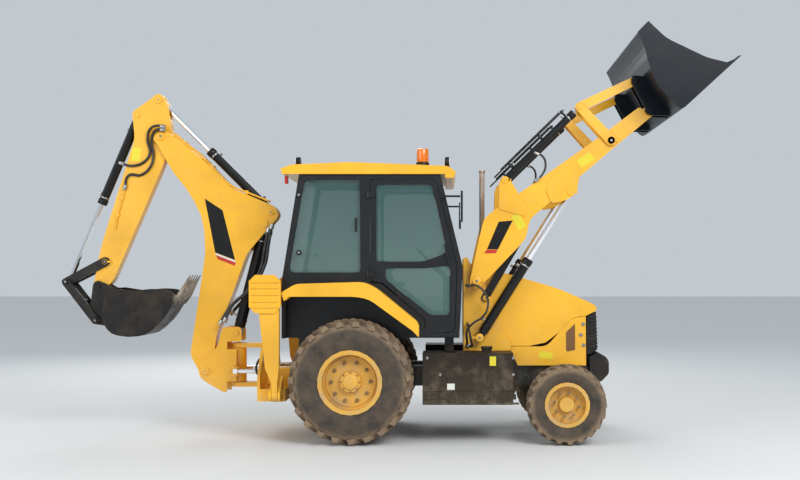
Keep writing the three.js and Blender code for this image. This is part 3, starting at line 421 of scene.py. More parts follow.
def other_side(piece, name):
    """The same piece mirrored to the machine's left."""
    twin = copy_of(piece, Matrix.Scale(-1, 4, (0, 1, 0)))
    twin.name = name
    return twin


def smooth(piece, angle=35):
    """Shade smooth wherever two faces meet at less than angle."""
    start_clean()
    piece.select_set(True)
    bpy.context.view_layer.objects.active = piece
    bpy.ops.object.shade_smooth_by_angle(angle=math.radians(angle))
    return piece


# %% Round bars, plates and boxes
def round_bar(a, b, radius, finish, sides=20, edge=0.0015, name="bar"):
    """A round bar between two points, with its rims softened."""
    start_clean()
    a, b = Vector(a), Vector(b)
    turn = (b - a).to_track_quat("Z", "Y").to_euler()
    bpy.ops.mesh.primitive_cylinder_add(
        vertices=sides, radius=radius, depth=(b - a).length, location=(a + b) / 2, rotation=turn,
    )
    piece = bpy.context.object
    piece.name = name
    if edge:
        soften(piece, edge, 2)
    return smooth(rest(piece, finish))


def outline_plate(points, y0, y1, finish, edge=0.002, name="plate"):
    """A flat plate whose side outline is given in millimetres in x and z, from y0 to y1."""
    start_clean()
    bpy.ops.mesh.primitive_circle_add(vertices=len(points), fill_type="NGON")
    piece = bpy.context.object
    piece.name = name
    for vertex, (x, z) in zip(piece.data.vertices, points):
        vertex.co = at(x, y0, z)
    bpy.ops.object.mode_set(mode="EDIT")
    bpy.ops.mesh.select_all(action="SELECT")
    bpy.ops.mesh.extrude_region_move(TRANSFORM_OT_translate={"value": (0, (y1 - y0) / 1000, 0)})
    bpy.ops.mesh.select_all(action="SELECT")
    bpy.ops.mesh.normals_make_consistent(inside=False)
    bpy.ops.object.mode_set(mode="OBJECT")
    if edge:
        soften(piece, edge, 2)
    return rest(piece, finish)


def brick(low, high, finish, edge=0.003, name="block"):
    """A block between two corners in millimetres, with its edges rounded."""
    start_clean()
    a, b = at(*low), at(*high)
    bpy.ops.mesh.primitive_cube_add(size=1, location=(a + b) / 2)
    piece = bpy.context.object
    piece.name = name
    piece.scale = [abs(v) for v in (b - a)]
    bpy.ops.object.transform_apply(location=True, rotation=True, scale=True)
    soften(piece, edge, 2)
    return rest(piece, finish)


def hose(name, points, radius, finish=None, steps=10):
    """A bent round hose or pipe through points in millimetres, as a mesh with closed ends."""
    start_clean()
    curve = bpy.data.curves.new(name, "CURVE")
    curve.dimensions = "3D"
    curve.bevel_depth = radius
    curve.bevel_resolution = 3
    curve.resolution_u = steps
    curve.use_fill_caps = True
    spline = curve.splines.new("BEZIER")
    spline.bezier_points.add(len(points) - 1)
    for knot, point in zip(spline.bezier_points, points):
        knot.co = at(*point)
        knot.handle_left_type = knot.handle_right_type = "AUTO"
    piece = bpy.data.objects.new(name, curve)
    scene.collection.objects.link(piece)
    piece.select_set(True)
    bpy.context.view_layer.objects.active = piece
    bpy.ops.object.convert(target="MESH")
    return smooth(rest(bpy.context.object, finish or hose_rubber.material), 50)


# %% [markdown]
# ## Tyres
# A tractor tyre is a spun section with bars of rubber standing on it.
# The section is drawn once and spun about the axle with the Spin operator; one bar is then shaped and copied round.
# The rear bars slant from the shoulder to the middle and alternate left and right, which gives the chevron.


# %% Spin a section about a wheel's axle
def spun(name, section, hub, steps, finish):
    """A closed section of (radius, y) in millimetres, spun about the y axis through hub (x, z)."""
    start_clean()
    bpy.ops.mesh.primitive_circle_add(vertices=len(section), fill_type="NOTHING")
    piece = bpy.context.object
    piece.name = name
    for vertex, (radius, y) in zip(piece.data.vertices, section):
        vertex.co = at(hub[0], y, hub[1] + radius)
    bpy.ops.object.mode_set(mode="EDIT")
    bpy.ops.mesh.select_all(action="SELECT")
    bpy.ops.mesh.spin(steps=steps, angle=2 * math.pi, center=at(hub[0], 0, hub[1]), axis=(0, 1, 0))
    bpy.ops.mesh.select_all(action="SELECT")
    bpy.ops.mesh.remove_doubles(threshold=0.0002)
    bpy.ops.mesh.normals_make_consistent(inside=False)
    bpy.ops.object.mode_set(mode="OBJECT")
    return rest(piece, finish)


def about_axle(hub, angle):
    """A turn about the y axis through hub."""
    centre = at(hub[0], 0, hub[1])
    return Matrix.Translation(centre) @ Matrix.Rotation(angle, 4, "Y") @ Matrix.Translation(-centre)


def lug(finish, hub, y_in, y_out, r_in, r_out, lean, width, height):
    """One tread bar on top of the tyre: its foot is wide, its crest narrow, and it leans along x by lean."""
    start_clean()
    bpy.ops.mesh.primitive_cube_add(size=1)
    piece = bpy.context.object
    for vertex in piece.data.vertices:
        outer = vertex.co.y > 0
        top = vertex.co.z > 0
        side = (1 if vertex.co.x > 0 else -1) * width * (0.5 if top else 0.78)
        radius = (r_out if outer else r_in) + (height if top else -12)
        along = hub[0] + side + (lean if outer else -lean)
        vertex.co = at(along, y_out if outer else y_in, hub[1] + radius)
    soften(piece, 0.006, 1)
    return rest(piece, finish)


def tyre(name, finish, hub, middle, half, section, count, bar):
    """The right-hand tyre: a spun carcass with bars that alternate from its two shoulders.

    bar holds the radius under a bar's inner and outer end, its lean, its width and its height.
    """
    body = spun(name, [(r, middle + y) for r, y in section], hub, 64, finish)
    bars = []
    for side in (-1, 1):
        first = lug(finish, hub, middle - side * 12, middle + side * half, *bar)
        if side < 0:
            first.data.flip_normals()
        for i in range(count):
            angle = 2 * math.pi * (i + (0.5 if side > 0 else 0)) / count
            bars.append(copy_of(first, about_axle(hub, angle)))
        bpy.data.objects.remove(first)
    whole = joined(name, [body] + bars)
    return smooth(whole, 30)


rear_section = [
    (308, 197), (308, -197), (334, -202), (352, -215), (430, -243), (520, -244), (570, -228), (596, -200),
    (606, -150), (611, 0), (606, 150), (596, 200), (570, 228), (520, 244), (430, 243), (352, 215), (334, 202),
]
front_section = [
    (212, 110), (212, -110), (232, -115), (246, -128), (290, -150), (345, -150), (380, -138), (390, -110),
    (394, 0), (390, 110), (380, 138), (345, 150), (290, 150), (246, 128), (232, 115),
]
REAR_TYRE_Y, FRONT_TYRE_Y = -852.5, -905
rear_right = tyre(
    "rear_tyre_lugged_right", rear_rubber, REAR_HUB, REAR_TYRE_Y, 240, rear_section, 23,
    (612, 590, 70, 58, 44),
)
front_right = tyre(
    "front_tyre_lugged_right", front_rubber, FRONT_HUB, FRONT_TYRE_Y, 147, front_section, 21,
    (392, 380, 32, 44, 28),
)
for right, cad, body in (
    (rear_right, "rear_tyre", "rear_wheel"), (front_right, "front_tyre", "front_wheel"),
):
    left = other_side(right, right.name.replace("right", "left"))
    for piece, side in ((right, "right"), (left, "left")):
        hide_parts(f"{cad}_{side}")
        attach(piece, f"{body}_{side}")
print("tyres:", len(rear_right.data.polygons), "and", len(front_right.data.polygons), "faces")

# %% [markdown]
# ## Wheel bolts and hubs
# Each rim disc carries a ring of wheel nuts and a round hub cap.
# One nut is made from a six-sided cylinder whose outer face is inset and pulled out, and is then copied round the axle.


# %% Wheel nuts and hub caps
def nut(spot, radius, height, finish, sides=6):
    """A nut that stands on a face towards the machine's right."""
    start_clean()
    bpy.ops.mesh.primitive_cylinder_add(
        vertices=sides, radius=radius, depth=height, location=spot, rotation=(math.radians(90), 0, 0),
    )
    piece = bpy.context.object
    bpy.ops.object.transform_apply(location=True, rotation=True, scale=True)
    outer = min(f.center.y for f in piece.data.polygons)
    bpy.ops.object.mode_set(mode="EDIT")
    bpy.ops.mesh.select_mode(type="FACE")
    bpy.ops.mesh.select_all(action="DESELECT")
    bpy.ops.object.mode_set(mode="OBJECT")
    for face in piece.data.polygons:
        face.select = face.center.y < outer + 1e-4
    bpy.ops.object.mode_set(mode="EDIT")
    bpy.ops.mesh.inset(thickness=radius * 0.42)
    bpy.ops.mesh.extrude_region_move(TRANSFORM_OT_translate={"value": (0, -height * 0.6, 0)})
    bpy.ops.object.mode_set(mode="OBJECT")
    soften(piece, radius * 0.1, 1)
    return rest(piece, finish)


def ring_of(first, hub, count, start=0.0):
    """Evenly spaced copies of a piece round a wheel's axle, in place of the piece itself."""
    made = [copy_of(first, about_axle(hub, start + 2 * math.pi * i / count)) for i in range(count)]
    bpy.data.objects.remove(first)
    return made


def cap(name, hub, profile, finish, steps=40):
    """A round cap about the axle, from a section of (radius, y) that starts and ends on the axle."""
    start_clean()
    bpy.ops.mesh.primitive_circle_add(vertices=len(profile), fill_type="NOTHING")
    piece = bpy.context.object
    for vertex, (radius, y) in zip(piece.data.vertices, profile):
        vertex.co = at(hub[0], y, hub[1] + radius)
    bpy.ops.object.mode_set(mode="EDIT")
    bpy.ops.mesh.select_all(action="SELECT")
    bpy.ops.mesh.spin(steps=steps, angle=2 * math.pi, center=at(hub[0], 0, hub[1]), axis=(0, 1, 0))
    bpy.ops.mesh.select_all(action="SELECT")
    bpy.ops.mesh.remove_doubles(threshold=0.0003)
    bpy.ops.mesh.dissolve_degenerate(threshold=0.0001)
    bpy.ops.mesh.normals_make_consistent(inside=False)
    bpy.ops.object.mode_set(mode="OBJECT")
    piece.name = name
    return smooth(rest(piece, finish), 30)


nut_steel = paint("wheel_nut_paint", (0.20, 0.12, 0.04), dust=0.6, gloss=0.5, coat=0.0, dust_top=1.5)
rear_face, front_face = REAR_TYRE_Y - 74, FRONT_TYRE_Y - 60
rear_nuts = ring_of(nut(at(0, rear_face - 8, REAR_HUB[1] + 205), 0.021, 0.024, nut_steel), REAR_HUB, 10, 0.3)
rear_hub_cap = cap(
    "rear_hub", REAR_HUB, [(0, -984), (0, -1006), (60, -1006), (78, -998), (88, -984)], rim_yellow,
)
rear_flange = spun(
    "rear_ring", [(236, rear_face - 2), (236, rear_face - 9), (262, rear_face - 9), (268, rear_face - 2)],
    REAR_HUB, 56, rim_yellow,
)
rear_hub_nuts = ring_of(nut(at(0, -986, REAR_HUB[1] + 101), 0.009, 0.014, nut_steel), REAR_HUB, 8)
rear_set = joined("rear_wheel_fittings_right", rear_nuts + [rear_hub_cap, rear_flange] + rear_hub_nuts)
front_nut = nut(at(FRONT_HUB[0], front_face - 8, FRONT_HUB[1] + 128), 0.017, 0.022, nut_steel)
front_set = joined("front_wheel_fittings_right", ring_of(front_nut, FRONT_HUB, 8, 0.2))
for right, body in ((rear_set, "rear_wheel"), (front_set, "front_wheel")):
    left = other_side(right, right.name.replace("right", "left"))
    for piece, side in ((right, "right"), (left, "left")):
        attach(piece, f"{body}_{side}")

# %% [markdown]
# ## Pins and cylinder glands
# Every joint pin ends in a round keeper with a bolt in it, and every cylinder ends in a gland nut round its rod.
# Both are small, but without them the arms look like cut-out plates.


# %% Pin heads on arms and digging gear
def pin_head(x, z, y, radius, finish, way=1):
    """A pin's round end towards the machine's right: a chamfered disc, a bolt and a keeper bar.

    The bar lies ahead of the pin, or behind it when way is -1, where a cylinder would cross it.
    """
    disc = round_bar(at(x, y + 4, z), at(x, y - 9, z), radius, finish, 24, 0.003)
    bolt = nut(at(x, y - 12, z), radius * 0.36, 0.008, tube_steel.material)
    near, far = sorted((x + way * radius * 700, x + way * (radius * 1000 + 34)))
    keeper = brick((near, y - 7, z - 11), (far, y + 1, z + 11), finish)
    return [disc, bolt, keeper]


pin_sets = {
    "machine": [(1324, 1710, 677, 0.046), (1420, 1528, 666, 0.03), (1356, 1102, 660, 0.044, -1)],
    "arms": [
        (2760, 3211, 698, 0.042), (1624, 2790, 668, 0.036), (2336, 2660, 668, 0.036), (3179, 3540, 668, 0.042),
    ],
}
for body, heads in pin_sets.items():
    parts = [p for x, z, y, r, *way in heads for p in pin_head(x, z, -y, r, yellow, *way)]
    right = joined(f"{body}_pin_heads_right", parts)
    for piece in (right, other_side(right, f"{body}_pin_heads_left")):
        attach(piece, body)
hoe_pins = {
    "post": [(-1692, 700, 150, 0.05)], "boom": [(-2196, 3326, 114, 0.05), (-968, 2474, 114, 0.034)],
    "dipper": [(-2828, 1922, 100, 0.03), (-2905, 1649, 74, 0.034), (-2234, 3740, 74, 0.026)],
    "knee_lever": [(-3261, 1697, 126, 0.032)], "digging_bucket": [(-2928, 1265, 126, 0.032)],
}
for body, heads in hoe_pins.items():
    finish = black if body in ("knee_lever", "digging_bucket") else yellow
    parts = [p for x, z, y, r in heads for p in pin_head(x, z, -y, r, finish)]
    right = joined(f"{body}_pin_heads_right", parts)
    for piece in (right, other_side(right, f"{body}_pin_heads_left")):
        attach(piece, body)
print("pins:", sum(len(h) for h in (*pin_sets.values(), *hoe_pins.values())) * 2)


# %% Gland nuts and base bands on the cylinders
def glands(name, base, eye, y, radius, tube_end):
    """A gland nut, two bands and two ports on a cylinder between its base pin and its rod's eye."""
    a, b = at(base[0], y, base[1]), at(eye[0], y, eye[1])
    way = (b - a).normalized()
    end = a + way * tube_end
    parts = [
        round_bar(end - way * 0.05, end + way * 0.004, radius * 1.1, gloss_black, 24, 0.004),
        round_bar(end - way * 0.085, end - way * 0.07, radius * 1.06, tube_steel.material, 24, 0.002),
        round_bar(a + way * 0.13, a + way * 0.15, radius * 1.06, gloss_black, 24, 0.003),
    ]
    port = Vector((-way.z, 0, way.x)) if way.x > 0 else Vector((way.z, 0, -way.x))
    for spot in (a + way * 0.19, end - way * 0.11):
        foot, tip = spot + port * radius * 0.9, spot + port * (radius + 0.03)
        parts.append(round_bar(foot, tip, 0.016, tube_steel.material, 6))
    return joined(name, parts)


TILT_PIN, TILT_EYE = (1624, 2790), (2425, 3571)
ARM_Y = -610
tilt_gland = glands("tilt_gland_right", TILT_PIN, TILT_EYE, ARM_Y, 0.041, 1.035)
lift_gland = glands("lift_gland_right", (1356, 1102), (2336, 2660), ARM_Y, 0.052, 0.99)
gland_sets = [(tilt_gland, "tilt_barrels"), (lift_gland, "lift_barrels")]
gland_sets += [(other_side(p, p.name.replace("right", "left")), body) for p, body in gland_sets]
gland_sets += [
    (glands("boom_gland", (-1351, 1125), (-1040, 2350), 0, 0.062, 1.14), "boom_barrel"),
    (glands("dipper_gland", (-968, 2474), (-2234, 3740), 0, 0.05, 0.989), "boom"),
    (glands("hoe_bucket_gland", (-2470, 3566), (-3261, 1697), 0, 0.05, 1.077), "bucket_barrel"),
]
for piece, body in gland_sets:
    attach(piece, body)
print(len(gland_sets), "cylinders dressed")

# %% [markdown]
# ## Hydraulic lines
# Each cylinder is fed by two lines. Steel pipes lie along the boom, and short clipped hoses bridge the joints.
# Every line keeps its shape and rides on one body, so its route leaves room for the others to move.


# %% Lines with crimped ends
def line(name, points, radius, body, both=False):
    """A hose with a steel ferrule at each end, and the same one on the left if both is set."""
    parts = [hose(name, points, radius)]
    for end, inner in ((points[0], points[1]), (points[-1], points[-2])):
        a = at(*end)
        way = (at(*inner) - a).normalized()
        parts.append(round_bar(a - way * 0.012, a + way * 0.045, radius * 1.5, tube_steel.material, 12, 0.002))
    whole = joined(name, parts)
    pieces = [whole] + ([other_side(whole, name + "_left")] if both else [])
    for piece in pieces:
        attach(piece, body)
    return pieces


made_lines = []
for name, points, radius, body, both in (
    ("dipper_hose_upper", [
        (-2150, -146, 3428), (-2230, -144, 3440), (-2309, -126, 3411), (-2350, -96, 3290), (-2326, -88, 3140),
        (-2394, -88, 3040), (-2539, -88, 2998), (-2660, -84, 3030),
    ], 0.015, "dipper", False),
    ("dipper_hose_lower", [
        (-2150, -146, 3396), (-2240, -144, 3390), (-2300, -110, 3290), (-2285, -90, 3110), (-2321, -90, 2985),
        (-2430, -88, 2894), (-2563, -86, 2890), (-2611, -84, 2740),
    ], 0.015, "dipper", False),
    ("boom_hose_a", [
        (-950, -135, 2330), (-985, -145, 2130), (-1030, -165, 1870), (-1180, -185, 1620), (-1380, -190, 1440),
        (-1470, -190, 1260),
    ], 0.018, "boom", False),
    ("boom_hose_b", [
        (-990, -132, 2290), (-1030, -140, 2080), (-1080, -155, 1830), (-1230, -170, 1590), (-1420, -180, 1400),
        (-1520, -185, 1230),
    ], 0.018, "boom", False),
    ("boom_hose_c", [
        (-1010, 135, 2270), (-1050, 150, 2060), (-1110, 165, 1810), (-1270, 180, 1560), (-1470, 185, 1330),
    ], 0.018, "boom", False),
    ("swing_hose", [
        (-1013, -300, 880), (-1070, -350, 820), (-1085, -330, 700), (-1015, -290, 620),
    ], 0.013, "machine", True),
    ("tilt_hose", [
        (1951, -674, 3080), (2030, -680, 3040), (2060, -684, 2950), (2033, -684, 2860), (1960, -682, 2780),
    ], 0.012, "arms", True),
    ("tower_hose", [
        (1222, -640, 1660), (1330, -712, 1655), (1425, -722, 1560), (1442, -722, 1440), (1390, -722, 1330),
        (1290, -716, 1262), (1222, -690, 1180), (1222, -640, 1060), (1222, -520, 1000),
    ], 0.012, "machine", True),
    ("tower_hose_low", [
        (1230, -560, 1250), (1240, -700, 1200), (1262, -716, 1080), (1275, -640, 1015), (1240, -520, 1010),
    ], 0.012, "machine", True),
):
    made_lines += line(name, points, radius, body, both)

# %% Steel pipes along the boom and down the dipper, with clips
PIPE_RADIUS = 0.011
BOOM_TOP = [
    (-1000, 2592), (-1230, 2684), (-1425, 2766), (-1560, 2893), (-1745, 3088), (-1930, 3236), (-2090, 3370),
]
# The dipper's back comes down over the boom's head, so the inner pipe and the last clip's inner part stop short.
INNER_PIPE, OUTER_PIPE = (56, BOOM_TOP[:5]), (88, BOOM_TOP)
BOOM_CLIPS = ((-1240, 2700, 44), (-1640, 2990, 44), (-1950, 3262, 78))
for side in (-1, 1):
    for i, (y, top) in enumerate((INNER_PIPE, OUTER_PIPE)):
        route = [(x, side * y, z + 14) for x, z in top]
        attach(hose(f"boom_pipe_{side}_{i}", route, PIPE_RADIUS, yellow, 4), "boom")
    for j, (x, z, inner) in enumerate(BOOM_CLIPS):
        low, high = (x - 18, side * inner, z - 20), (x + 18, side * 100, z + 22)
        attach(brick(low, high, yellow, 0.004, f"boom_clip_{side}_{j}"), "boom")
down = hose(
    "dipper_pipe", [(-2611, -82, 2740), (-2650, -81, 2590), (-2700, -81, 2400), (-2715, -79, 2290)],
    PIPE_RADIUS, yellow,
)
clips = [
    brick((x - 20, -92, z - 14), (x + 20, -70, z + 14), yellow, 0.003)
    for x, z in ((-2640, 2640), (-2690, 2440))
]
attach(joined("dipper_pipe", [down] + clips), "dipper")
rods = []
tilt_base = at(TILT_PIN[0], 0, TILT_PIN[1])
tilt_way = (at(TILT_EYE[0], 0, TILT_EYE[1]) - tilt_base).normalized()
up = Vector((-tilt_way.z, 0, tilt_way.x))
for y, rise, start, end in ((-0.628, 0.098, -0.06, 0.98), (-0.598, 0.112, 0.05, 0.93)):
    a = tilt_base + Vector((0, y, 0)) + up * rise
    rods.append(round_bar(a + tilt_way * start, a + tilt_way * end, 0.009, gloss_black, 12, 0.001))
for share in (0.16, 0.6, 0.95):
    a = at(TILT_PIN[0], ARM_Y, TILT_PIN[1]) + tilt_way * share
    rods.append(round_bar(a + up * 0.03, a + up * 0.118, 0.014, gloss_black, 8, 0.002))
level_rods = joined("bucket_level_rods_right", rods)
for piece in (level_rods, other_side(level_rods, "bucket_level_rods_left")):
    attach(piece, "tilt_barrels")
print(len(made_lines), "hoses")

# %% [markdown]
# ## Panels, stripes and plates
# The boom carries a black slanted panel over a white and a red band, and each loader arm a smaller black and red one.
# Small bright plates mark the pinch points. All of them are thin, stand proud of the paint and stay blank.


# %% Slanted panels on the boom, the arms and the tank
PANEL_THICK, PANEL_SUNK = 1.6, 0.5


def panel(name, points, y, finish, body, sides=(-1, 1)):
    """A thin blank panel on the steel's side at y, on the machine's right and, if sides has 1, its left."""
    made = outline_plate(points, -(y + PANEL_THICK), -y + PANEL_SUNK, finish, edge=0.0, name=name)
    for side in sides:
        piece = made if side < 0 else other_side(made, name + "_left")
        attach(piece, body)


notice_yellow = paint("notice_plate_yellow", (0.80, 0.66, 0.02), dust=0.15)
notice_white = paint("notice_plate_white", (0.78, 0.77, 0.72), dust=0.12)


def plate_at(x, z, wide, high, turn=0.0):
    """The corners of a plate centred on x, z and turned by an angle in degrees."""
    c, s = math.cos(math.radians(turn)), math.sin(math.radians(turn))
    corners = [(-wide, -high), (wide, -high), (wide, high), (-wide, high)]
    return [(x + a / 2 * c - b / 2 * s, z + a / 2 * s + b / 2 * c) for a, b in corners]


BOOM_SIDE, ARM_SIDE, DIPPER_SIDE, TANK_SIDE, COWL_SIDE = 112, 665, 72, 945, 468
panel("boom_panel_black", [(-1705, 2627), (-1589, 2025), (-1367, 1940), (-1507, 2498)], BOOM_SIDE, gloss_black, "boom")
panel("boom_band_white", [(-1588, 2021), (-1582, 1999), (-1361, 1914), (-1366, 1936)], BOOM_SIDE, white_stripe, "boom")
panel("boom_band_red", [(-1582, 1996), (-1560, 1950), (-1372, 1876), (-1360, 1911)], BOOM_SIDE, red_stripe, "boom")
panel("arm_panel_black", [(1560, 2343), (1434, 2048), (1552, 2048), (1709, 2357)], ARM_SIDE, gloss_black, "arms")
panel("arm_band_red", [(1432, 2044), (1401, 2005), (1530, 2005), (1550, 2044)], ARM_SIDE, red_stripe, "arms")
panel("arm_plate_low", plate_at(1775, 2345, 95, 165, 28), ARM_SIDE, notice_yellow, "arms")
panel("arm_plate_high", plate_at(2490, 3005, 165, 95, 33), ARM_SIDE, notice_yellow, "arms")
panel("dipper_plate", plate_at(-2485, 3125, 100, 150, -8), DIPPER_SIDE, notice_yellow, "dipper")
panel("tank_plate_yellow", plate_at(1486, 873, 66, 98), TANK_SIDE, notice_yellow, "machine", sides=(-1,))
panel("tank_plate_white", plate_at(1048, 597, 80, 80), TANK_SIDE, notice_white, "machine", sides=(-1,))
panel("cowl_plate", plate_at(2080, 900, 150, 70, -6), COWL_SIDE, notice_yellow, "machine")
print("panels made")

# %% [markdown]
# ## Bonnet, nose and tank
# The side vent is a dark solid sheet whose holes are painted near-black, a painted shade of the space behind them; the
# nose panel is held by three round bolts, and the grille is louvred.
# The tank shows a welded seam, its strap bolts and a ribbed step.

# %% Vent, nose bolts and louvres
vent_steel = Finish("perforated_vent", 0.5, 0.3)
holes = vent_steel.node("ShaderNodeTexVoronoi", {}, vent_steel.place, Scale=75.0, Randomness=0.15)
# The holes are painted shade: near-black colour where the space behind the perforations would lie in shadow, with a
# bump to sink them.
painted_hole_shade = holes.step(0.18, 0.32)
vent_steel.set(
    Base_Color=vent_steel.mix(painted_hole_shade, (0.012, 0.01, 0.01, 1), (0.19, 0.09, 0.03, 1)),
    Normal=vent_steel.bump(painted_hole_shade, 0.6, 0.002),
)
vent = outline_plate(
    [(2301, 1150), (2399, 1245), (2399, 960), (2320, 940), (2301, 955)],
    -COWL_SIDE - 2.5, -COWL_SIDE + 0.5, vent_steel.material, 0.0, "side_vent",
)
for piece in (vent, other_side(vent, "side_vent_left")):
    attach(piece, "machine")
NOSE_BOLTS = ((2488, 1238), (2462, 1122), (2492, 1010))
TANK_BOLTS = ((936, 731), (1700, 905), (1700, 731), (800, 905))
bolts = [nut(at(x, -473, z), 0.02, 0.012, tube_steel.material, 16) for x, z in NOSE_BOLTS]
bolts += [nut(at(x, -951, z), 0.016, 0.012, tube_steel.material, 16) for x, z in TANK_BOLTS]
nose = joined("nose_and_tank_bolts", bolts)
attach(nose, "machine")
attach(other_side(nose, "nose_and_tank_bolts_left"), "machine")
LOUVRES, LOUVRE_STEP = 9, 40
louvres = []
for i in range(LOUVRES):
    z = 990 + i * LOUVRE_STEP
    x = 2640 - (z - 962) * 0.033  # the grille leans back a little
    louvres.append(brick((x - 6, -400, z - 9), (x + 16, 400, z + 9), black, 0.004))
    louvres.append(brick((2548, -472, z - 9), (2618, -462, z + 9), black, 0.003))
    louvres.append(brick((2548, 462, z - 9), (2618, 472, z + 9), black, 0.003))
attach(joined("grille_louvres", louvres), "machine")
seams = [
    brick((1000, -948, 418), (1008, -942, 952), brown_black, 0.001),
    brick((756, -952, 556), (1766, -941, 572), brown_black, 0.002),
    brick((760, -962, 420), (1760, -944, 440), brown_black, 0.004),
]
STEP_RIBS, RIB_STEP = 14, 70
for i in range(STEP_RIBS):
    seams.append(brick((790 + i * RIB_STEP, -951, 470), (820 + i * RIB_STEP, -942, 530), brown_black, 0.003))
tank_trim = joined("tank_seams_and_step", seams)
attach(tank_trim, "machine")
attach(other_side(tank_trim, "battery_box_seams"), "machine")
filler = round_bar(at(1430, -700, 984), at(1430, -700, 1012), 0.062, black, 24, 0.006, "filler_cap")
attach(filler, "machine")
exhaust_rim = round_bar(at(1391, -300, 2900), at(1391, -300, 2925), 0.036, hot_steel.material, 24, 0.003, "exhaust_rim")
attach(exhaust_rim, "machine")

# %% [markdown]
# ## Cab
# The doors have real panes, and the quarter windows round hinges and a handle.
# The roof carries four work lamps and the orange beacon.

# %% Door panes, mirrors and lamps
PANE_OUT, PANE_IN = -778, -772
UPPER_PANE = [(258, 2732), (846, 2732), (1008, 2008), (762, 1918), (258, 1918)]
LOWER_PANE = [(353, 1732), (832, 1348), (1037, 1348), (1037, 1877), (780, 1847), (353, 1847)]
panes = [
    outline_plate(outline, PANE_OUT, PANE_IN, glass.material, 0.0, f"door_pane_{word}_right")
    for word, outline in (("upper", UPPER_PANE), ("lower", LOWER_PANE))
]
for pane in panes:
    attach(pane, "door_right")
    left_pane = other_side(pane, pane.name.replace("right", "left"))
    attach(left_pane, "door_left")
mirror = brick((1146, -996, 2346), (1150, -864, 2634), mirror_glass.material, 0.001, "mirror_glass_right")
for piece in (mirror, other_side(mirror, "mirror_glass_left")):
    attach(piece, "machine")
lens = Finish("lamp_lens", 0.08)
ribs = lens.node("ShaderNodeTexWave", {"bands_direction": "Y"}, lens.place, Scale=22, Distortion=0.0)
lens.set(
    Base_Color=lens.mix(ribs, (0.75, 0.76, 0.75, 1), (0.9, 0.92, 0.92, 1)),
    Normal=lens.bump(ribs, 0.5, 0.003), Coat_Weight=0.6,
)


def work_lamp(name, x, y, z, way, colour):
    """A round lamp on a small foot; way is 1 to face forwards and -1 to face back."""
    body = round_bar(at(x - 28 * way, y, z), at(x + 22 * way, y, z), 0.058, black, 28, 0.01)
    glassy = round_bar(at(x + 18 * way, y, z), at(x + 28 * way, y, z), 0.05, colour, 28, 0.004)
    foot = brick((x - 14, y - 12, z - 88), (x + 14, y + 12, z - 50), black, 0.003)
    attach(joined(name, [body, glassy, foot]), "machine")


for side, word in ((-1, "right"), (1, "left")):
    work_lamp(f"roof_lamp_front_{word}", 1010, side * 560, 2990, 1, lens.material)
    work_lamp(f"roof_lamp_rear_{word}", -600, side * 560, 2990, -1, lens.material)
beacon_low = round_bar(at(740, -420, 2925), at(740, -420, 3000), 0.072, black, 32, 0.006)
beacon_dome = round_bar(at(740, -420, 2998), at(740, -420, 3152), 0.066, lamp_orange, 32, 0.018)
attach(joined("beacon_light", [beacon_low, beacon_dome]), "machine")
rear_lamps = []
for side in (-1, 1):
    rear_lamps.append(brick((-722, side * 700 - 40, 2745), (-690, side * 700 + 40, 2830), lamp_red, 0.006))
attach(joined("rear_lamps", rear_lamps), "machine")
HINGE_X, HINGE_Z = -560, (2620, 2010)
hinges = [round_bar(at(HINGE_X, -806, z), at(HINGE_X, -816, z), 0.03, black, 20, 0.003) for z in HINGE_Z]
hinges += [
    round_bar(at(HINGE_X, -812, z), at(HINGE_X, -822, z), 0.012, tube_steel.material, 6, 0.001)
    for z in HINGE_Z
]
hinges.append(brick((30, -826, 2230), (55, -806, 2380), black, 0.008))
window_fittings = joined("quarter_window_fittings_right", hinges)
for piece in (window_fittings, other_side(window_fittings, "quarter_window_fittings_left")):
    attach(piece, "machine")
ribs_made = []
for z in (1440, 1500, 1570, 1640, 1700):
    ribs_made.append(brick((-1030, -1044, z - 8), (-740, -1026, z + 8), yellow, 0.004))
pad_ribs = joined("stabilizer_pad_ribs_right", ribs_made)
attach(pad_ribs, "stabilizer_right")
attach(other_side(pad_ribs, "stabilizer_pad_ribs_left"), "stabilizer_left")

# %% [markdown]
# ## Seat
# The seat pan, back and armrests are firm, and two foam cushions in cloth sit on them.
# Each cushion is a rounded block, remeshed finely and blown up a little with the cloth simulation.


# %% Cushions
CLOTH_FRAMES = 20


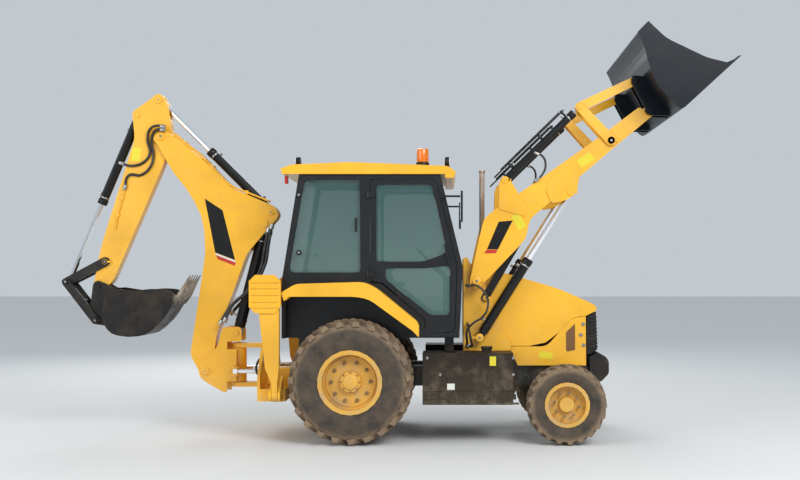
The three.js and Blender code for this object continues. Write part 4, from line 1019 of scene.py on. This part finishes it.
def cushion(name, low, high, lean=0.0, puff=0.016):
    """A foam cushion between two corners, leaning back by lean degrees and swollen by puff metres at most."""
    piece = brick(low, high, cloth.material, 0.035, name)
    start_clean()
    piece.select_set(True)
    bpy.context.view_layer.objects.active = piece
    remesh = piece.modifiers.new("even", "REMESH")
    remesh.mode, remesh.voxel_size = "VOXEL", 0.006
    bpy.ops.object.modifier_apply(modifier="even")
    before = [v.co.copy() for v in piece.data.vertices]
    soft = piece.modifiers.new("foam", "CLOTH")
    soft.settings.use_pressure = True
    soft.settings.uniform_pressure_force = 4
    soft.settings.effector_weights.gravity = 0
    soft.point_cache.frame_end = CLOTH_FRAMES
    for step in range(1, CLOTH_FRAMES + 1):
        scene.frame_set(step)
    bpy.ops.object.modifier_apply(modifier="foam")
    scene.frame_set(1)
    for vertex, old in zip(piece.data.vertices, before):
        move = vertex.co - old
        if move.length > puff:
            vertex.co = old + move.normalized() * puff
    if lean:
        centre = at((low[0] + high[0]) / 2, 0, low[2])
        turn = Matrix.Rotation(math.radians(-lean), 4, "Y")
        piece.data.transform(Matrix.Translation(centre) @ turn @ Matrix.Translation(-centre))
    divide = piece.modifiers.new("fine", "SUBSURF")
    divide.levels = divide.render_levels = 1
    bpy.ops.object.modifier_apply(modifier="fine")
    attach(piece, "machine")
    return smooth(piece, 60)


base_cushion = cushion("seat_cushion", (160, -235, 1440), (615, 235, 1510))
back_cushion = cushion("back_cushion", (150, -215, 1545), (205, 215, 2045), 8.5)
shell = outline_plate([(120, 1392), (120, 1436), (640, 1436), (640, 1402)], -250, 250, charcoal, 0.012, "seat_pan")
back = outline_plate([(112, 1450), (30, 2075), (78, 2085), (160, 1450)], -238, 238, charcoal, 0.012, "seat_back")
foot = brick((150, -225, 1100), (560, 225, 1396), charcoal, 0.01, "seat_box")
arms = [brick((150, s * 291 - 28, 1642), (520, s * 291 + 28, 1698), charcoal, 0.018, "armrest") for s in (-1, 1)]
posts = [
    brick((152, min(s * 238, s * 316), 1482), (188, max(s * 238, s * 316), 1650), charcoal, 0.008, "armrest_post")
    for s in (-1, 1)
]
seat_frame = joined("seat_frame", [shell, back, foot] + arms + posts)
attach(seat_frame, "machine")
for piece in (base_cushion, back_cushion, seat_frame):
    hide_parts("seat")
print("cushions:", len(base_cushion.data.polygons), len(back_cushion.data.polygons), "faces")
